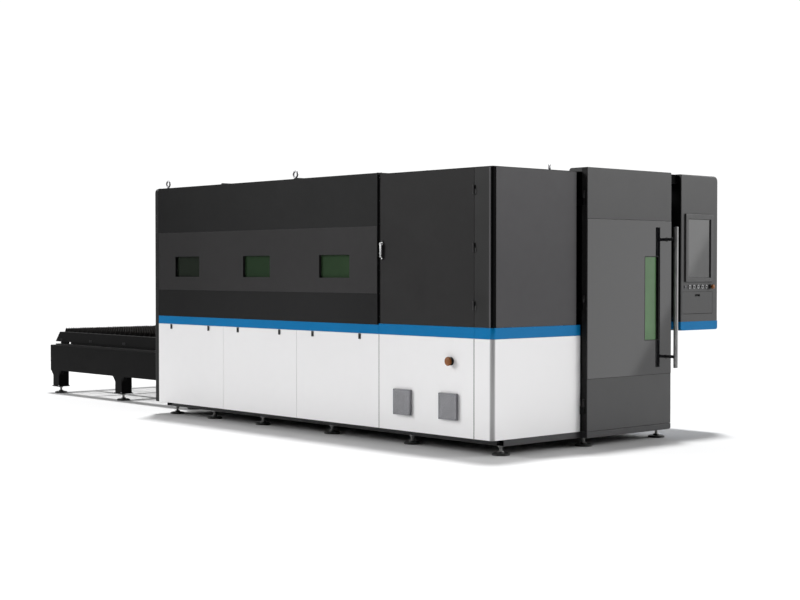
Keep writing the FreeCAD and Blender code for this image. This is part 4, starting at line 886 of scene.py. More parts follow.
p = Piece("door_panel_gaps", "rubber")
p.box(58.2, 58.75, 1024, 2099, 1833.2, 1837.0)
p.box(58.2, 58.75, 1024, 2099, 546.0, 549.8)
p.done("front_door", 0.0)

p = Piece("door_window_gasket", "rubber")
p.ring("x", (1744.5, 1933.5, 834.5, 1537.5), 7, (1750.0, 1928.0, 840.0, 1532.0), 4, 56.2, 60.9)
p.done("front_door", 0.6)

p = Piece("door_pull_rosettes", "plastic")
for z in (692, 1680):
    p.washer("x", 2041, z, 59.9, 63.0, 19.0, 13.05, 40)
    p.washer("x", 2041, z, 134.0, 136.4, 15.4, 13.05, 40)
p.done("front_door", 0.7)

p = Piece("door_pull_caps", "brushed")
for z0, z1 in ((600.2, 597.6), (1781.8, 1784.4)):
    p.cyl("z", 155, 2041, z0, z1, 18.4, 40, 1.6)
p.done("front_door", 0.0)

p = Piece("door_liner", "liner")
p.plate("x", 1050, 2073, 160, 2213, 4.6, 6.4, [(1742, 1936, 832, 1540)])
p.ring("x", (1741, 1937, 831, 1541), 3, (1745.4, 1932.6, 835.4, 1536.6), 2, 4.7, 20.2)
for z in (300, 620, 1700, 2020):
    p.box(1.0, 4.8, 1120, 2000, z - 18, z + 18)
p.mat("screw")
for z in (200, 560, 760, 1290, 1640, 1900, 2170):
    for y in (1075, 2048):
        p.screw("x", y, z, 4.6, 1.4, 6.0)
p.mat("zinc")
p.slab("x", 2005, 2052, 1080, 1240, 0.6, 4.7, 6)
p.mat("rubber")
p.ring("x", (1046, 2064, 141, 2124), 14, (1056, 2054, 151, 2114), 9, -1.3, 1.9)
p.done("front_door", 0.6)

p = Piece("door_hinge_screws", "screw")
for z in HZ:
    for dz in (-46, -16):
        for x in (-44, -24):
            p.screw("y", x, z + dz, 1003.0, 1000.2, 4.4)
p.done("machine", 0.0)

p = Piece("portal_screws", "screw")
for z in (230, 560, 900, 1240, 1580, 1920):
    for y in (1066, 2044):
        p.screw("x", y, z, -2.1, -0.6, 4.4)
p.done("machine", 0.0)

# ============================================================== console
BTN_Y = (2432, 2492, 2552, 2612, 2672)
p = Piece("button_rings", "ring")
for y in BTN_Y:
    p.lathe("x", y, 1277, [(4.6, 16.4), (6.4, 16.4), (7.6, 15.2), (7.6, 12.2), (6.6, 11.0), (5.2, 11.0)], 40)
p.done("machine", 0.0, smooth=30)
for i, y in enumerate(BTN_Y, start=1):
    p = Piece("push_cap_%d" % i, "button_grey" if i % 2 else "plastic")
    p.lathe("x", y, 1277, [(-23.5, 8.6), (2.0, 8.6), (6.9, 8.6), (7.9, 7.9), (8.3, 6.6), (8.0, 5.0), (7.8, 0)], 32)
    p.done("push_button_%d" % i, 0.0, smooth=30, replaces=["console_button_%d" % i])

p = Piece("key_switch", "lock")
p.lathe("x", 2371, 1277, [(0.0, 14.5), (3.2, 14.5), (4.4, 13.2), (4.4, 9.0), (6.4, 8.4), (6.6, 7.6), (6.6, 0)], 40)
p.mat("plastic")
p.box(6.4, 6.9, 2370.2, 2371.8, 1271.5, 1282.5)
p.done("machine", 0.0, smooth=30)

p = Piece("stop_button_console", "stop")
p.lathe("x", 2735, 1277, [(-23, 7.6), (13.6, 7.6), (14.2, 10.4), (18.5, 15.4), (22.6, 19.2), (24.6, 20.0), (31.0, 20.0), (34.2, 19.0), (36.6, 16.4),
                          (38.2, 13.0), (38.0, 11.6), (38.4, 10.2), (38.9, 5.0), (39.0, 0)], 48)
p.done("console_stop_button", 0.0, smooth=40, replaces=["estop_console"])
p = Piece("stop_collar_console", "plastic")
p.washer("x", 2735, 1277, 0.1, 3.0, 24.5, 20.1, 48)
p.done("machine", 0.5)

# Inner rim round the screen and two small status lamps under it.
p = Piece("screen_rim", "bezel_edge")
p.ring("x", (2399.5, 2726.5, 1350.5, 1866.5), 3, (2407, 2719, 1358, 1859), 2, 2.4, 5.2)
p.mat("plastic")
p.ring("x", (2363.6, 2763.4, 1314.6, 1911.4), 6, (2367.6, 2759.4, 1318.6, 1907.4), 5, 0.0, 2.2)
p.mat("screen")
for y in (2700, 2712):
    p.cyl("x", y, 1334, 13.9, 14.6, 2.2, 20, 0.3)
p.done("machine", 0.5)

p = Piece("flap_pull_liner", "rubber")
p.plate("x", 2513.2, 2582.8, 1192.2, 1211.8, -11.2, -10.2)
p.ring("x", (2513.1, 2582.9, 1192.1, 1211.9), 1.5, (2514.6, 2581.4, 1193.6, 1210.4), 1.2, -10.4, 0.35)
p.done("keyboard_drawer", 0.3)

# Keyboard: tray, key rows, space bar and trackball, facing up when the flap is down.
p = Piece("keyboard_unit", "plastic")
p.slab("x", 2345.4, 2749.6, 1060.4, 1181.6, -20.0, -3.1, 6)
p.ring("x", (2345.4, 2749.6, 1060.4, 1181.6), 6, (2352, 2743, 1064.6, 1177.4), 3, -22.0, -19.6)
p.mat("key_cap")
for row in range(6):
    z = 1073.4 + 18.8 * row
    if row < 5:
        for col in range(16):
            y = 2363.5 + 18.9 * col
            p.box(-23.9, -20.4, y - 8.3, y + 8.3, z - 8.2, z + 8.2)
    else:
        y = 2363.5
        for w in (1.25, 1.25, 1.25, 6.25, 1.25, 1.25, 1.25, 2.0):
            half = (w * 18.9 - 2.3) / 2
            cy = y - 9.45 + w * 18.9 / 2
            p.box(-23.9, -20.4, cy - half, cy + half, z - 8.2, z + 8.2)
            y += w * 18.9
p.mat("chrome").washer("x", 2706, 1110, -20.2, -22.6, 22, 17.5, 40)
p.mat("stop").lathe("x", 2706, 1110, [(-19.0, 16.8), (-22.0, 16.2), (-25.0, 12.6), (-26.6, 7.0), (-27.0, 0)], 32)
p.mat("key_cap")
for dy in (-14, 14):
    p.box(-23.4, -20.2, 2706 + dy - 12, 2706 + dy + 12, 1148, 1166)
p.done("keyboard_drawer", 0.9, replaces=["keyboard"])

# ============================================================== pallets
def slat_set(name, node_name, body, rear, drop, seed):
    """29 blades with fine teeth, burnt to slightly different heights."""
    rnd = random.Random(seed)
    q = Piece(name, "slat")
    lo, tip, n = 641 - drop, 749.6 - drop, 50
    pitch = 1550.0 / n
    for i in range(29):
        x = rear + 98 + 100 * i
        worn = rnd.uniform(0.0, 1.6)
        line = []
        for t in range(n):
            y = 645 + t * pitch
            h = tip - worn - rnd.random() ** 3 * 4.5
            line += [(y + 0.3, tip - worn - rnd.uniform(10.5, 14.0)), (y + pitch * 0.41, h), (y + pitch * 0.59, h - rnd.uniform(0, 0.9))]
        line.append((2194.7, tip - 12))
        q.prism("x", [(645.3, lo + 0.2), (2194.7, lo + 0.2)] + line[::-1], x, x + 4)
        # slag beads caught under the teeth
        for _ in range(7):
            y, z = rnd.uniform(700, 2140), tip - rnd.uniform(16, 30)
            s = rnd.uniform(1.2, 2.6)
            side = x - s * 0.6 if rnd.random() < 0.5 else x + 4 - s * 0.6
            q.box(side, side + s * 1.4, y - s, y + s * 1.5, z - s * 1.3, z + s)
    q.done(body, 0.0, replaces=[node_name])


slat_set("upper_slats_cut", "upper_pallet_slats", "upper_pallet", -7665, 0, 11)
slat_set("lower_slats_cut", "lower_pallet_slats", "lower_pallet", -4450, 225, 23)


def pallet_fittings(name, body, rear, drop):
    lo, front = 591 - drop, rear + 3000
    q = Piece(name, "table")
    # slat holders: folded combs along both beams
    for y0, y1 in ((645.2, 662), (2178, 2194.8)):
        for i in range(29):
            x = rear + 98 + 100 * i
            q.box(x - 10, x - 0.6, y0, y1, lo + 52, lo + 128)
            q.box(x + 4.6, x + 14, y0, y1, lo + 52, lo + 128)
        q.box(rear + 110, front - 110, min(y0 + 3, y1 - 3), min(y0 + 3, y1 - 3) + 3, lo + 42, lo + 56)
    # pull lugs for the chain dogs
    for x0, x1 in ((rear + 60, rear + 106), (front - 106, front - 60)):
        q.prism("y", [(x0, lo + 8), (x1, lo + 3), (x1, lo + 46), (x0 + 10, lo + 42), (x0, lo + 32)] if x0 < rear + 200 else
                [(x1, lo + 8), (x0, lo + 3), (x0, lo + 46), (x1 - 10, lo + 42), (x1, lo + 32)], 1380, 1392)
    # runner strips under both beams, between the end shoes
    for y in (574.5, 2259.5):
        q.box(rear + 340, front - 60, y, y + 6, lo - 22.6, lo + 0.2)
    q.mat("screw")
    for x in (rear + 136, rear + 790, rear + 1500, rear + 2210, front - 136):
        q.hexhead("y", x - 16, lo + 25, 570, 565, 15)
        q.hexhead("y", x + 16, lo + 25, 570, 565, 15)
        q.hexhead("y", x - 16, lo + 25, 2270, 2275, 15)
        q.hexhead("y", x + 16, lo + 25, 2270, 2275, 15)
    # track rollers before and after each shoe
    q.mat("guide")
    for x in (rear + 120, rear + 1000, rear + 1940, front - 220):
        for xc in (x - 16, x + 116):
            for y in (588, 2240):
                q.lathe("y", xc, lo - 12.7, [(y - 2, 5), (y, 5), (y, 11.2), (y + 1.2, 12.2), (y + 10.8, 12.2), (y + 12, 11.2), (y + 12, 5), (y + 14, 5)], 24)
                q.box(xc - 6, xc + 6, y - 4, y - 1, lo - 20, lo - 0.1)
                q.box(xc - 6, xc + 6, y + 13, y + 16, lo - 20, lo - 0.1)
    q.done(body, 0.4, 1)


pallet_fittings("upper_pallet_fittings", "upper_pallet", -7665, 0)
pallet_fittings("lower_pallet_fittings", "lower_pallet", -4450, 225)

# ============================================================== shuttle table
p = Piece("table_fittings", "table")
for x in (-7531, -6170, -4809):
    for y0, y1 in ((500, 630), (2210, 2340)):
        p.box(x - 74, x + 74, y0 - 8, y1 + 8, 75, 84)
        for sx in (-1, 1):
            # gusset plates under the beam
            yy = y0 + 3 if y0 < 1000 else y1 - 11
            p.prism("y", [(x + sx * 64, 260), (x + sx * 118, 260), (x + sx * 64, 196)], yy, yy + 8)
for x0 in (-7655, -4676):
    for y in (530, 2310):
        p.slab("x", y - 26, y + 26, 268, 548, x0 + 0.2 if x0 < -5000 else x0 + 8, x0 + 2.8 if x0 < -5000 else x0 + 11.4, 5)
p.mat("bolt")
for x in range(-7520, -4700, 352):
    p.hexhead("y", x, 540, 568, 575, 15)
    p.hexhead("y", x, 540, 2272, 2265, 15)
for x in (-7531, -6170, -4809):
    for sx in (-1, 1):
        for y in (497, 2343):
            p.hexhead("z", x + sx * 60, y + (4 if y < 1000 else -4), 84, 92, 13)
for x in (-7590, -7530, -6200, -6140, -4839, -4779):
    for y in (632.5, 2207.5):
        p.hexhead("y", x, 293, 630.2 if y < 1000 else 2209.8, 637 if y < 1000 else 2203, 15)
p.mat("stop")
for x in (-7380, -5020):
    p.box(x, x + 34, 634, 646, 520, 542)
p.mat("zinc")
for x in (-7380, -5020):
    p.box(x - 6, x + 40, 632.2, 634.2, 508, 562)
p.done("machine", 0.8, 1)

# Drive: cooling fins, fan cowl, terminal box, chain and idler.
p = Piece("table_drive_fittings", "motor")
for k in range(19):
    x = -7488 + 10 * k
    p.washer("x", 2020, 212, x, x + 3.2, 51.5, 47.5, 32)
p.lathe("x", 2020, 212, [(-7290, 48.4), (-7286, 51.5), (-7256, 51.5), (-7250, 48), (-7248, 40), (-7248, 0)], 36)
p.slab("y", -7460, -7380, 172, 252, 1952, 1974, 6)
p.mat("bolt")
for x in (-7454, -7386):
    for z in (178, 246):
        p.screw("y", x, z, 1952, 1948.5, 4)
for y in (1972, 2068):
    for z in (176, 252):
        p.hexhead("x", y, z, -7620, -7626, 13)
p.mat("screw")
for k in range(104):
    for z, flip in ((245.5, 0), (178.5, 1)):
        x = -7560 + 25.4 * k
        w = 5.4 if (k + flip) % 2 else 7.4
        p.box(x - 1, x + 26.4, 1391 - w, 1391 - w + 1.6, z - 5.5, z + 5.5)
        p.box(x - 1, x + 26.4, 1391 + w - 1.6, 1391 + w, z - 5.5, z + 5.5)
        p.cyl("y", x, z, 1383.8, 1398.2, 4.2, 8)
p.mat("zinc")
p.lathe("y", -4918, 212, [(1384, 8), (1384, 33.5), (1398, 33.5), (1398, 8)], 32)
p.box(-4936, -4900, 1402, 1410, 196, 264)
p.box(-4936, -4760, 1372, 1410, 258, 263.8)
p.cyl("y", -4918, 212, 1376, 1414, 8, 20)
p.done("machine", 0.5, 1)

# ============================================================== rear end
p = Piece("rear_end_fittings", "rear")
for y0, y1 in ((110, 1400), (1442, 2732)):
    p.slab("x", y0, y1, 860, 2150, -4663.2, -4659.8, 8)
p.ring("x", (462, 2378, 282, 818), 10, (478, 2362, 298, 802), 6, -4664.0, -4659.8)
p.mat("screw")
for y0, y1 in ((110, 1400), (1442, 2732)):
    for y in (y0 + 30, (y0 + y1) / 2, y1 - 30):
        for z in (890, 1505, 2120):
            p.screw("x", y, z, -4663.2, -4666.6, 7)
for k in range(9):
    for z in (290, 810):
        p.screw("x", 500 + 230 * k, z, -4664, -4666.6, 5)
p.mat("bolt")
for k in range(9):
    p.hexhead("x", 520 + 225 * k, 785, -4646, -4652, 9)
p.mat("zinc")
for z in (1000, 2010):
    for y in (1330, 1512):
        p.slab("x", y - 14, y + 14, z - 45, z + 45, -4668, -4663, 6)
p.done("machine", 0.8, 2)

# Brush strips in front of the plain curtain: separate tufts of slightly different length.
rnd = random.Random(5)
p = Piece("curtain_tufts", "bristle")
for k in range(300):
    y = 486 + 6.22 * k
    zb = 756 + rnd.uniform(0.2, 5.0)
    xb = -4643.4 + rnd.uniform(-0.8, 0.8)
    p.box(xb - 1.6, xb + 1.6, y, y + 5.4, zb, 770)
p.done("machine", 0.0)

# ============================================================== roof
p = Piece("roof_seams", "roof")
for x in (-3525, -2425):
    p.prism("y", [(x - 22, 2219.8), (x - 20, 2221.4), (x - 5, 2221.6), (x - 4, 2231), (x + 4, 2231), (x + 5, 2221.6), (x + 20, 2221.4), (x + 22, 2219.8)], 6, 2834)
p.box(-1336, -1322, 6, 2834, 2219.8, 2222.4)
p.box(-4586, -4566, 6, 2834, 2219.8, 2222.4)
p.prism("y", [(-742, 2209.8), (-740, 2211.6), (-722, 2211.6), (-720, 2209.8)], 6, 2088)
p.mat("screw")
for x in (-4576, -3540, -3510, -2440, -2410, -1329):
    for k in range(11):
        z = 2222.4 if x in (-4576, -1329) else 2221.5
        p.screw("z", x, 50 + 274 * k, z, z + 3, 5.5, 16)
for k in range(8):
    p.screw("z", -731, 50 + 284 * k, 2211.6, 2214.4, 5.0, 16)
    p.screw("z", -24, 50 + 284 * k, 2210.0, 2212.6, 5.0, 16)
p.mat("zinc")
for x, y, z in ((-4503, 60, 2220), (-2482, 60, 2220), (-4503, 2780, 2220), (-2482, 2780, 2220), (-340, 1010, 2210)):
    p.washer("z", x, y, z - 0.2, z + 2.6, 27, 9, 36)
p.done("machine", 0.4, 1)

# ============================================================== far side
p = Piece("far_wall_fittings", "hood")
for x in (-1300, -2396.5, -3493):
    p.box(x - 14, x + 14, 2839.8, 2842.0, 986, 2204)
for x0, x1 in ((-4400, -3700), (-3300, -2600), (-2200, -1500)):
    p.slab("y", x0, x1, 1180, 2000, 2839.8, 2842.4, 14)
    for k in range(10):
        z = 1240 + 24 * k
        p.prism("x", [(2842.2, z), (2842.2, z + 14), (2848.6, z + 2), (2848.6, z)], x0 + 90, x1 - 90)
p.mat("plastic")
for x0, x1 in ((-4400, -3700), (-3300, -2600), (-2200, -1500)):
    for x in (x0 + 45, x1 - 45):
        p.ring("y", (x - 19, x + 19, 1545, 1635), 8, (x - 13, x + 13, 1551, 1629), 5, 2842.2, 2847.0)
        p.box(x - 13.4, x + 13.4, 2842.2, 2843.4, 1550, 1630)
        p.slab("y", x - 8, x + 8, 1562, 1618, 2843.2, 2846.2, 4)
p.mat("screw")
for x0, x1 in ((-4400, -3700), (-3300, -2600), (-2200, -1500)):
    for x in (x0 + 24, (x0 + x1) / 2, x1 - 24):
        for z in (1204, 1976):
            p.screw("y", x, z, 2842.4, 2845.2, 5.5)
for x in (-1300, -2396.5, -3493):
    for z in (1040, 1330, 1620, 1910, 2170):
        p.screw("y", x, z, 2842.0, 2844.6, 5)
p.done("machine", 0.6, 2)

p = Piece("far_skirt_latches", "plastic")
FAR_SEAM = (-1300, -2396.5, -3493, -4589.5)
for a, b in ((-563, -1300), (-1300, -2396.5), (-2396.5, -3493), (-3493, -4589.5)):
    for x in (a - 227 if a != -563 else a - 120, b + 243 if a != -563 else b + 120):
        p.slab("y", x - 12, x + 12, 849, 895, 2839.8, 2848, 4)
        p.mat("screw").screw("y", x, 870, 2848, 2850.8, 6.2).mat("plastic")
p.mat("zinc")
for k in range(8):
    t = math.radians(22.5 + 45 * k)
    p.hexhead("y", -3900 + 170 * math.cos(t), 520 + 170 * math.sin(t), 2844, 2852, 15)
p.torus((-3900, 2928.6, 520), (0, 1, 0), 148.6, 1.3, 48, 8)
p.done("machine", 0.6, 1)

# Bolts and washers along the base.
p = Piece("base_bolts", "bolt")
for y in (1100, 2040):
    p.hexhead("z", -46, y - 34, 75, 69, 15)
    p.hexhead("z", -46, y + 34, 75, 69, 15)
for x, y in ((-78, 170), (-1080, 170), (-2110, 170), (-3110, 170), (-3880, 170), (-4520, 170), (-605, 2660), (-1700, 2670), (-3110, 2670), (-4520, 2670)):
    p.washer("z", x, y, 70, 74.8, 27, 12, 24)
p.done("machine", 0.4, 1)

# ============================================================== electrical cabinet
p = Piece("cabinet_units", "relay")
for i in range(5):
    x = -1150 + 150 * i
    p.mat("relay").slab("y", x + 3, x + 107, 1834, 2066, 125.4, 130.4, 6)
    p.mat("screen").slab("y", x + 22, x + 88, 2000, 2038, 123.6, 125.8, 3)
    p.mat("plastic")
    for k in range(4):
        p.cyl("y", x + 28 + 18 * k, 1984, 125.6, 122.4, 4.2, 16, 0.8)
    p.slab("y", x + 16, x + 94, 1846, 1884, 119.0, 126.0, 3)
    p.mat("terminal")
    for k in range(6):
        p.box(x + 19 + 12 * k, x + 29 + 12 * k, 116.6, 119.4, 1850, 1880)
    p.mat("rubber")
    for k in range(9):
        p.box(x + 14, x + 96, 124.4, 125.6, 1900 + 8 * k, 1903.4 + 8 * k)
for i in range(8):
    x = -1160 + 95 * i
    p.mat("breaker").slab("y", x + 2, x + 76, 1504, 1636, 192, 200.2, 3)
    p.slab("y", x + 8, x + 70, 1540, 1600, 184, 192.4, 3)
    p.mat("plastic")
    for k in range(3):
        p.slab("y", x + 14 + 19 * k, x + 25 + 19 * k, 1562, 1580, 174, 184.4, 2)
    p.mat("screw")
    for k in range(3):
        for z in (1516, 1624):
            p.cyl("y", x + 19.5 + 19 * k, z, 192.2, 190.8, 4.6, 14)
p.mat("terminal")
for k in range(35):
    x = -676 + 10 * k
    p.box(x + 0.6, x + 9.2, 208, 215.2, 1184, 1266)
p.mat("screw")
for k in range(35):
    for z in (1200, 1250):
        p.cyl("y", -671 + 10 * k, z, 208.2, 207.0, 2.8, 10)
p.mat("source").slab("y", -1156, -944, 1124, 1336, 146, 150.4, 5)
p.mat("rubber")
for k in range(12):
    p.box(-1140, -960, 144.8, 146.2, 1150 + 15 * k, 1156 + 15 * k)
p.mat("plastic").slab("y", -896, -724, 1134, 1326, 175, 180.4, 4)
p.mat("relay")
for k in range(4):
    p.box(-888 + 40 * k, -852 + 40 * k, 171, 175.4, 1150, 1310)
p.mat("terminal")
for z in (1030, 1380, 1730, 2100):
    p.box(-1249, -231, 246.6, 249.4, z + 4, z + 56)
    for k in range(80):
        x = -1245 + 12.6 * k
        p.box(x, x + 6.4, 247.4, 250.2, z - 0.8, z + 60.8)
p.mat("zinc")
for z in (1484, 1656, 1812, 2086):
    p.box(-1180, -320, 302, 309.2, z - 9, z + 9)
p.mat("rubber")
p.ring("y", (-1281, -199, 992, 2198), 6, (-1268, -212, 1005, 2185), 4, 27.6, 29.4)
p.mat("screw")
for x in (-1246, -234):
    for z in (1024, 1600, 2168):
        p.screw("y", x, z, 309, 305.6, 6)
p.done("machine", 0.7, 1)

p = Piece("laser_source_front", "source")
p.slab("y", -1186, -434, 166, 606, 76.4, 80.2, 10)
p.mat("rubber")
for r in range(2):
    for k in range(22):
        x = -1060 + 22 * k
        p.slab("y", x, x + 13, 220 + 150 * r, 330 + 150 * r, 75.2, 76.8, 5)
p.mat("screw")
for x in (-1172, -810, -448):
    for z in (180, 592):
        p.screw("y", x, z, 76.4, 73.4, 5.5)
p.mat("chrome")
for x in (-1110, -510):
    p.tube([(x, 76, 270), (x, 60, 276), (x, 56, 290), (x, 56, 410), (x, 60, 424), (x, 76, 430)], 6, 12)
p.done("machine", 0.6, 1)

# ============================================================== bed and gantry
p = Piece("bed_racks", "rail")
for y in (404, 2426):
    pts = [(-4480, 820.1), (-4480, 838)]
    n = 356
    for k in range(n):
        x = -4480 + 10 * k
        pts += [(x + 1.8, 838), (x + 3.8, 844), (x + 6.6, 844), (x + 8.6, 838)]
    pts += [(-920, 838), (-920, 820.1)]
    p.prism("y", pts[::-1], y - 10, y + 10)
p.mat("screw")
for y in (460, 2380):
    for k in range(44):
        p.cyl("z", -4440 + 80 * k, y, 849.8, 850.3, 6.5, 12)
p.mat("bolt")
for x in range(-4420, -900, 320):
    for y, s in ((360, -1), (2480, 1)):
        p.hexhead("y", x, 760, y, y + s * 9, 18)
        p.hexhead("y", x, 190, y, y + s * 9, 18)
p.done("machine", 0.3, 1)

p = Piece("gantry_fittings", "beam")
p.slab("y", -1272, -1028, 938, 1182, 346.0, 350.2, 10)
p.slab("y", -1272, -1028, 938, 1182, 2489.8, 2494.0, 10)
p.mat("motor")
for y in (440, 2400):
    p.slab("z", -1208, -1092, y - 58, y + 58, 1190.2, 1204, 8)
    for k in range(9):
        p.washer("z", -1150, y, 1216 + 13 * k, 1220 + 13 * k, 57.5, 54.5, 36)
    p.lathe("z", -1150, y, [(1359, 52), (1372, 52), (1378, 46), (1380, 0)], 36)
    p.slab("z", -1220, -1196, y - 16, y + 16, 1300, 1334, 4)
p.mat("bolt")
for y in (440, 2400):
    for sx in (-1, 1):
        for sy in (-1, 1):
            p.hexhead("z", -1150 + sx * 47, y + sy * 47, 1204, 1212, 13)
for y in (420, 500, 2340, 2420):
    for x in (-1318, -1296, -1004, -982):
        p.hexhead("z", x, y, 930, 940, 13)
p.mat("screw")
for z in (984, 1134):
    for k in range(34):
        p.cyl("x", 430 + 60 * k, z, -1307.8, -1308.4, 6, 12)
for y in (346, 2494):
    for x in (-1256, -1044):
        for z in (954, 1166):
            p.screw("y", x, z, y, y + (-3.4 if y < 1000 else 3.4), 6)
p.mat("frame")
p.box(-1270, -1030, 560, 2280, 1189.8, 1193)
p.mat("screw")
for y in range(600, 2260, 205):
    for x in (-1258, -1042):
        p.screw("z", x, y, 1193, 1195.6, 5)
p.done("gantry", 0.6, 1)

p = Piece("carriage_fittings", "carriage")
p.mat("bolt")
for z in (964, 1004, 1114, 1154):
    for y in (1330, 1360, 1480, 1510):
        p.hexhead("x", y, z, -1344, -1349, 10)
p.mat("motor")
p.lathe("z", -1377, 1420, [(1549, 33), (1556, 33), (1560, 28), (1560, 0)], 32)
p.washer("z", -1377, 1420, 1424, 1430, 37.5, 33.5, 32)
for k in range(7):
    p.washer("z", -1377, 1420, 1446 + 13 * k, 1450 + 13 * k, 36.5, 33.6, 32)
p.done("carriage", 0.5, 1)

p = Piece("head_fittings", "alloy")
hx0, hy0 = -1431, 1420
for z in (1040, 1018, 990):
    p.washer("z", hx0, hy0, z - 9, z - 2, 38.2, 35.6, 48)
for k in range(36):
    t = 2 * math.pi * k / 36
    p.box(hx0 + 36.6 * math.cos(t) - 1.1, hx0 + 36.6 * math.cos(t) + 1.1, hy0 + 36.6 * math.sin(t) - 1.1, hy0 + 36.6 * math.sin(t) + 1.1, 998, 1010)
p.slab("x", hy0 - 40, hy0 + 40, 1052, 1120, -1475, -1469.8, 6)
p.slab("x", hy0 - 40, hy0 + 40, 1150, 1288, -1474, -1469.8, 6)
p.mat("plastic")
for y in (hy0 - 26, hy0 + 26):
    p.cyl("x", y, 1086, -1474.6, -1484, 7, 24, 1.2)
p.cyl("x", hy0, 1240, -1473.6, -1478, 14, 32, 1.0)
p.lathe("z", hx0, hy0, [(1300, 27), (1316, 27), (1318, 25), (1340, 25)], 40)
p.lathe("z", hx0, hy0, [(1388, 17), (1412, 17), (1416, 15.4), (1449, 15.4), (1452, 12)], 36)
p.mat("chrome")
for z in (1100, 1180):
    p.cyl("y", -1431, z, hy0 + 47.5, hy0 + 60, 6, 20, 1.0)
    p.hexhead("y", -1431, z, hy0 + 48, hy0 + 55, 15)
p.mat("brass")
p.lathe("z", hx0, hy0, [(925.2, 12.4), (931, 15.4), (938, 15.4), (941, 12.6), (946, 12.6)], 32)
p.lathe("z", hx0, hy0, [(905.1, 1.6), (905.1, 4.4), (909, 5.6), (924.8, 12.3)], 32)
p.mat("ceramic").lathe("z", hx0, hy0, [(946, 20), (950, 25.8), (955, 31.2), (960, 31.2)], 36)
p.mat("screw")
for y in (hy0 - 34, hy0 + 34):
    for z in (1058, 1114, 1158, 1280):
        p.screw("x", y, z, -1474.4 if z > 1120 else -1475.2, -1477.4, 3.2, 16)
p.done("laser_head", 0.4, 1)

# Hood frame: light bars under the roof, on alloy rails with hangers up to the roof.
p = Piece("hood_frame_plates", "frame")
p.mat("lamp")
for y in (330, 2510):
    for x0 in (-4300, -3200, -2100):
        p.slab("y", x0, x0 + 700, 2096, 2126, y - 14, y + 14, 8)
p.mat("alloy")
for y in (330, 2510):
    for x0 in (-4300, -3200, -2100):
        p.box(x0 - 12, x0 + 712, y - 18, y + 18, 2126, 2134)
        p.box(x0 + 100, x0 + 130, y - 6, y + 6, 2134, 2217)
        p.box(x0 + 570, x0 + 600, y - 6, y + 6, 2134, 2217)
p.done("machine", 0.8, 1)


# ============================================================== floor, light and camera
floor_mat = Mat("studio_floor", rough=0.75, spec=0.2)
floor_mat.color(floor_mat.mix(floor_mat.rng(floor_mat.noise(0.35, 2), 0.3, 0.7, 0, 1), (0.600, 0.600, 0.602), (0.610, 0.610, 0.612)))
floor_mesh = bpy.data.meshes.new("studio_floor")
fb = bmesh.new()
rim = [fb.verts.new((9.5 * math.cos(2 * math.pi * k / 96), 9.5 * math.sin(2 * math.pi * k / 96), 0)) for k in range(96)]
fb.faces.new(rim)
fb.to_mesh(floor_mesh)
fb.free()
floor_mesh.materials.append(floor_mat.m)
floor = bpy.data.objects.new("studio_floor", floor_mesh)
bpy.context.scene.collection.objects.link(floor)

world = bpy.data.worlds.new("studio")
bpy.context.scene.world = world
world.use_nodes = True
wt = world.node_tree
wt.nodes.clear()


def wn(kind, **props):
    n = wt.nodes.new(kind)
    for k, v in props.items():
        setattr(n, k, v)
    return n


def wput(s, v):
    if isinstance(v, (int, float)):
        s.default_value = v
    elif isinstance(v, (tuple, list)):
        s.default_value = v
    else:
        wt.links.new(v, s)


def wmath(op, a, b=0.0):
    n = wn("ShaderNodeMath", operation=op)
    wput(n.inputs[0], a)
    wput(n.inputs[1], b)
    return n.outputs[0]


def wrange(v, a, b, c, d):
    n = wn("ShaderNodeMapRange", interpolation_type="SMOOTHSTEP")
    wput(n.inputs["Value"], v)
    for k, x in (("From Min", a), ("From Max", b), ("To Min", c), ("To Max", d)):
        n.inputs[k].default_value = x
    return n.outputs["Result"]


wtc = wn("ShaderNodeTexCoord")
wnorm = wn("ShaderNodeVectorMath", operation="NORMALIZE")
wput(wnorm.inputs[0], wtc.outputs["Generated"])


def towards(x, y, z):
    d = wn("ShaderNodeVectorMath", operation="DOT_PRODUCT")
    wput(d.inputs[0], wnorm.outputs[0])
    v = Vector((x, y, z)).normalized()
    d.inputs[1].default_value = tuple(v)
    return d.outputs["Value"]


wsep = wn("ShaderNodeSeparateXYZ")
wput(wsep.inputs[0], wnorm.outputs[0])
up = wsep.outputs[2]
SKY = {"base": 0.31, "soft_box": 1.10, "dark_left": -0.24, "dark_front": -0.28, "top": 0.28, "step": -0.50, "behind": 0.9}
sky = wmath("ADD", SKY["base"], wrange(towards(0.52, 0.85, 0.06), 0.84, 0.995, 0, SKY["soft_box"]))
sky = wmath("ADD", sky, wrange(towards(-0.76, -0.65, 0.0), 0.45, 0.90, 0, SKY["dark_left"]))
sky = wmath("ADD", sky, wrange(towards(0.70, -0.71, 0.0), 0.35, 0.90, 0, SKY["dark_front"]))
beyond = wmath("MULTIPLY", wrange(towards(-0.70557, 0.52559, -0.47532), -0.003, 0.0, 0, 1), wrange(towards(0.60, 0.80, 0.0), 0.93, 0.99, 0, 1))
sky = wmath("ADD", sky, wmath("MULTIPLY", beyond, SKY["step"]))
sky = wmath("ADD", sky, wrange(towards(-0.72, 0.68, 0.12), 0.45, 0.95, 0, SKY["behind"]))
high = wrange(up, 0.25, 0.75, 0, 1)
sky = wmath("ADD", wmath("MULTIPLY", sky, wmath("SUBTRACT", 1.0, high)), wmath("MULTIPLY", high, SKY["top"]))
light_bg = wn("ShaderNodeBackground")
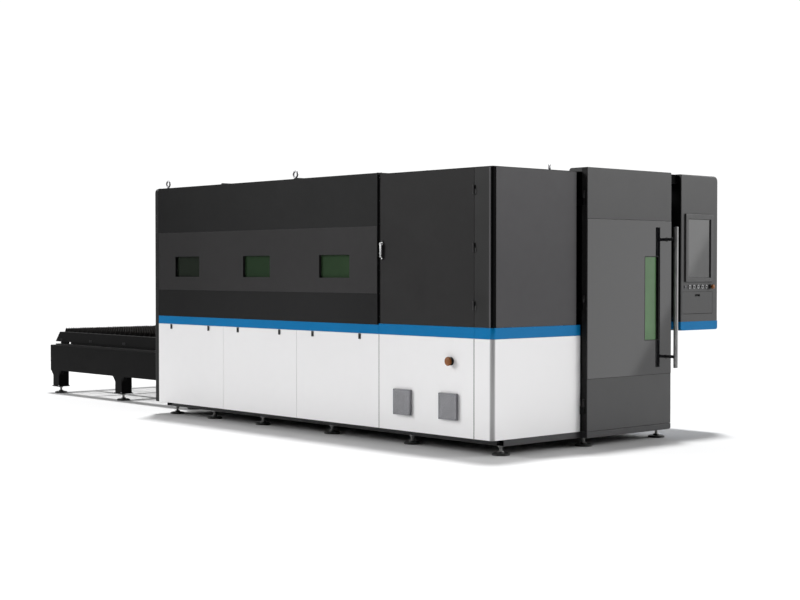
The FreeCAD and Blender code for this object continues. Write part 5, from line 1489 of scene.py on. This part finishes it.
wput(light_bg.inputs["Strength"], sky)
light_bg.inputs["Color"].default_value = (1.0, 1.0, 1.0, 1.0)
seen_bg = wn("ShaderNodeBackground")
seen_bg.inputs["Color"].default_value = (1.0, 1.0, 1.0, 1.0)
seen_bg.inputs["Strength"].default_value = 1.05
lp = wn("ShaderNodeLightPath")
wmix = wn("ShaderNodeMixShader")
wput(wmix.inputs[0], lp.outputs["Is Camera Ray"])
wt.links.new(light_bg.outputs[0], wmix.inputs[1])
wt.links.new(seen_bg.outputs[0], wmix.inputs[2])
wout = wn("ShaderNodeOutputWorld")
wt.links.new(wmix.outputs[0], wout.inputs["Surface"])


def soft_sun(name, towards_light, strength, angle, colour=(1, 1, 1)):
    ld = bpy.data.lights.new(name, "SUN")
    ld.energy = strength
    ld.angle = math.radians(angle)
    ld.color = colour
    lo = bpy.data.objects.new(name, ld)
    lo.rotation_mode = "QUATERNION"
    lo.rotation_quaternion = Vector(towards_light).normalized().to_track_quat("Z", "Y")
    bpy.context.scene.collection.objects.link(lo)


soft_sun("key_left", (-0.74, -0.68, 0.47), 2.08, 28)
soft_sun("key_right", (0.66, 0.75, 0.43), 1.50, 28)
soft_sun("key_top", (-0.16, 0.17, 1.0), 3.8, 7)

bpy.context.scene.view_settings.view_transform = "Standard"
bpy.context.scene.view_settings.look = "None"
bpy.context.scene.view_settings.exposure = 0.0
bpy.context.scene.view_settings.gamma = 1.0

cam_data = bpy.data.cameras.new("photo_camera")
cam_data.sensor_width = 36.0
cam_data.sensor_fit = "HORIZONTAL"
cam_data.lens = 66.6
cam_data.clip_start, cam_data.clip_end = 0.05, 200.0
cam = bpy.data.objects.new("photo_camera", cam_data)
cam.location = (11.5703, -9.4547, 1.4265)
pitch = math.radians(-1.18)
look = Vector((-0.742 * math.cos(pitch), 0.6704 * math.cos(pitch), math.sin(pitch)))
cam.rotation_mode = "QUATERNION"
cam.rotation_quaternion = look.to_track_quat("-Z", "Y")
bpy.context.scene.collection.objects.link(cam)
bpy.context.scene.camera = cam
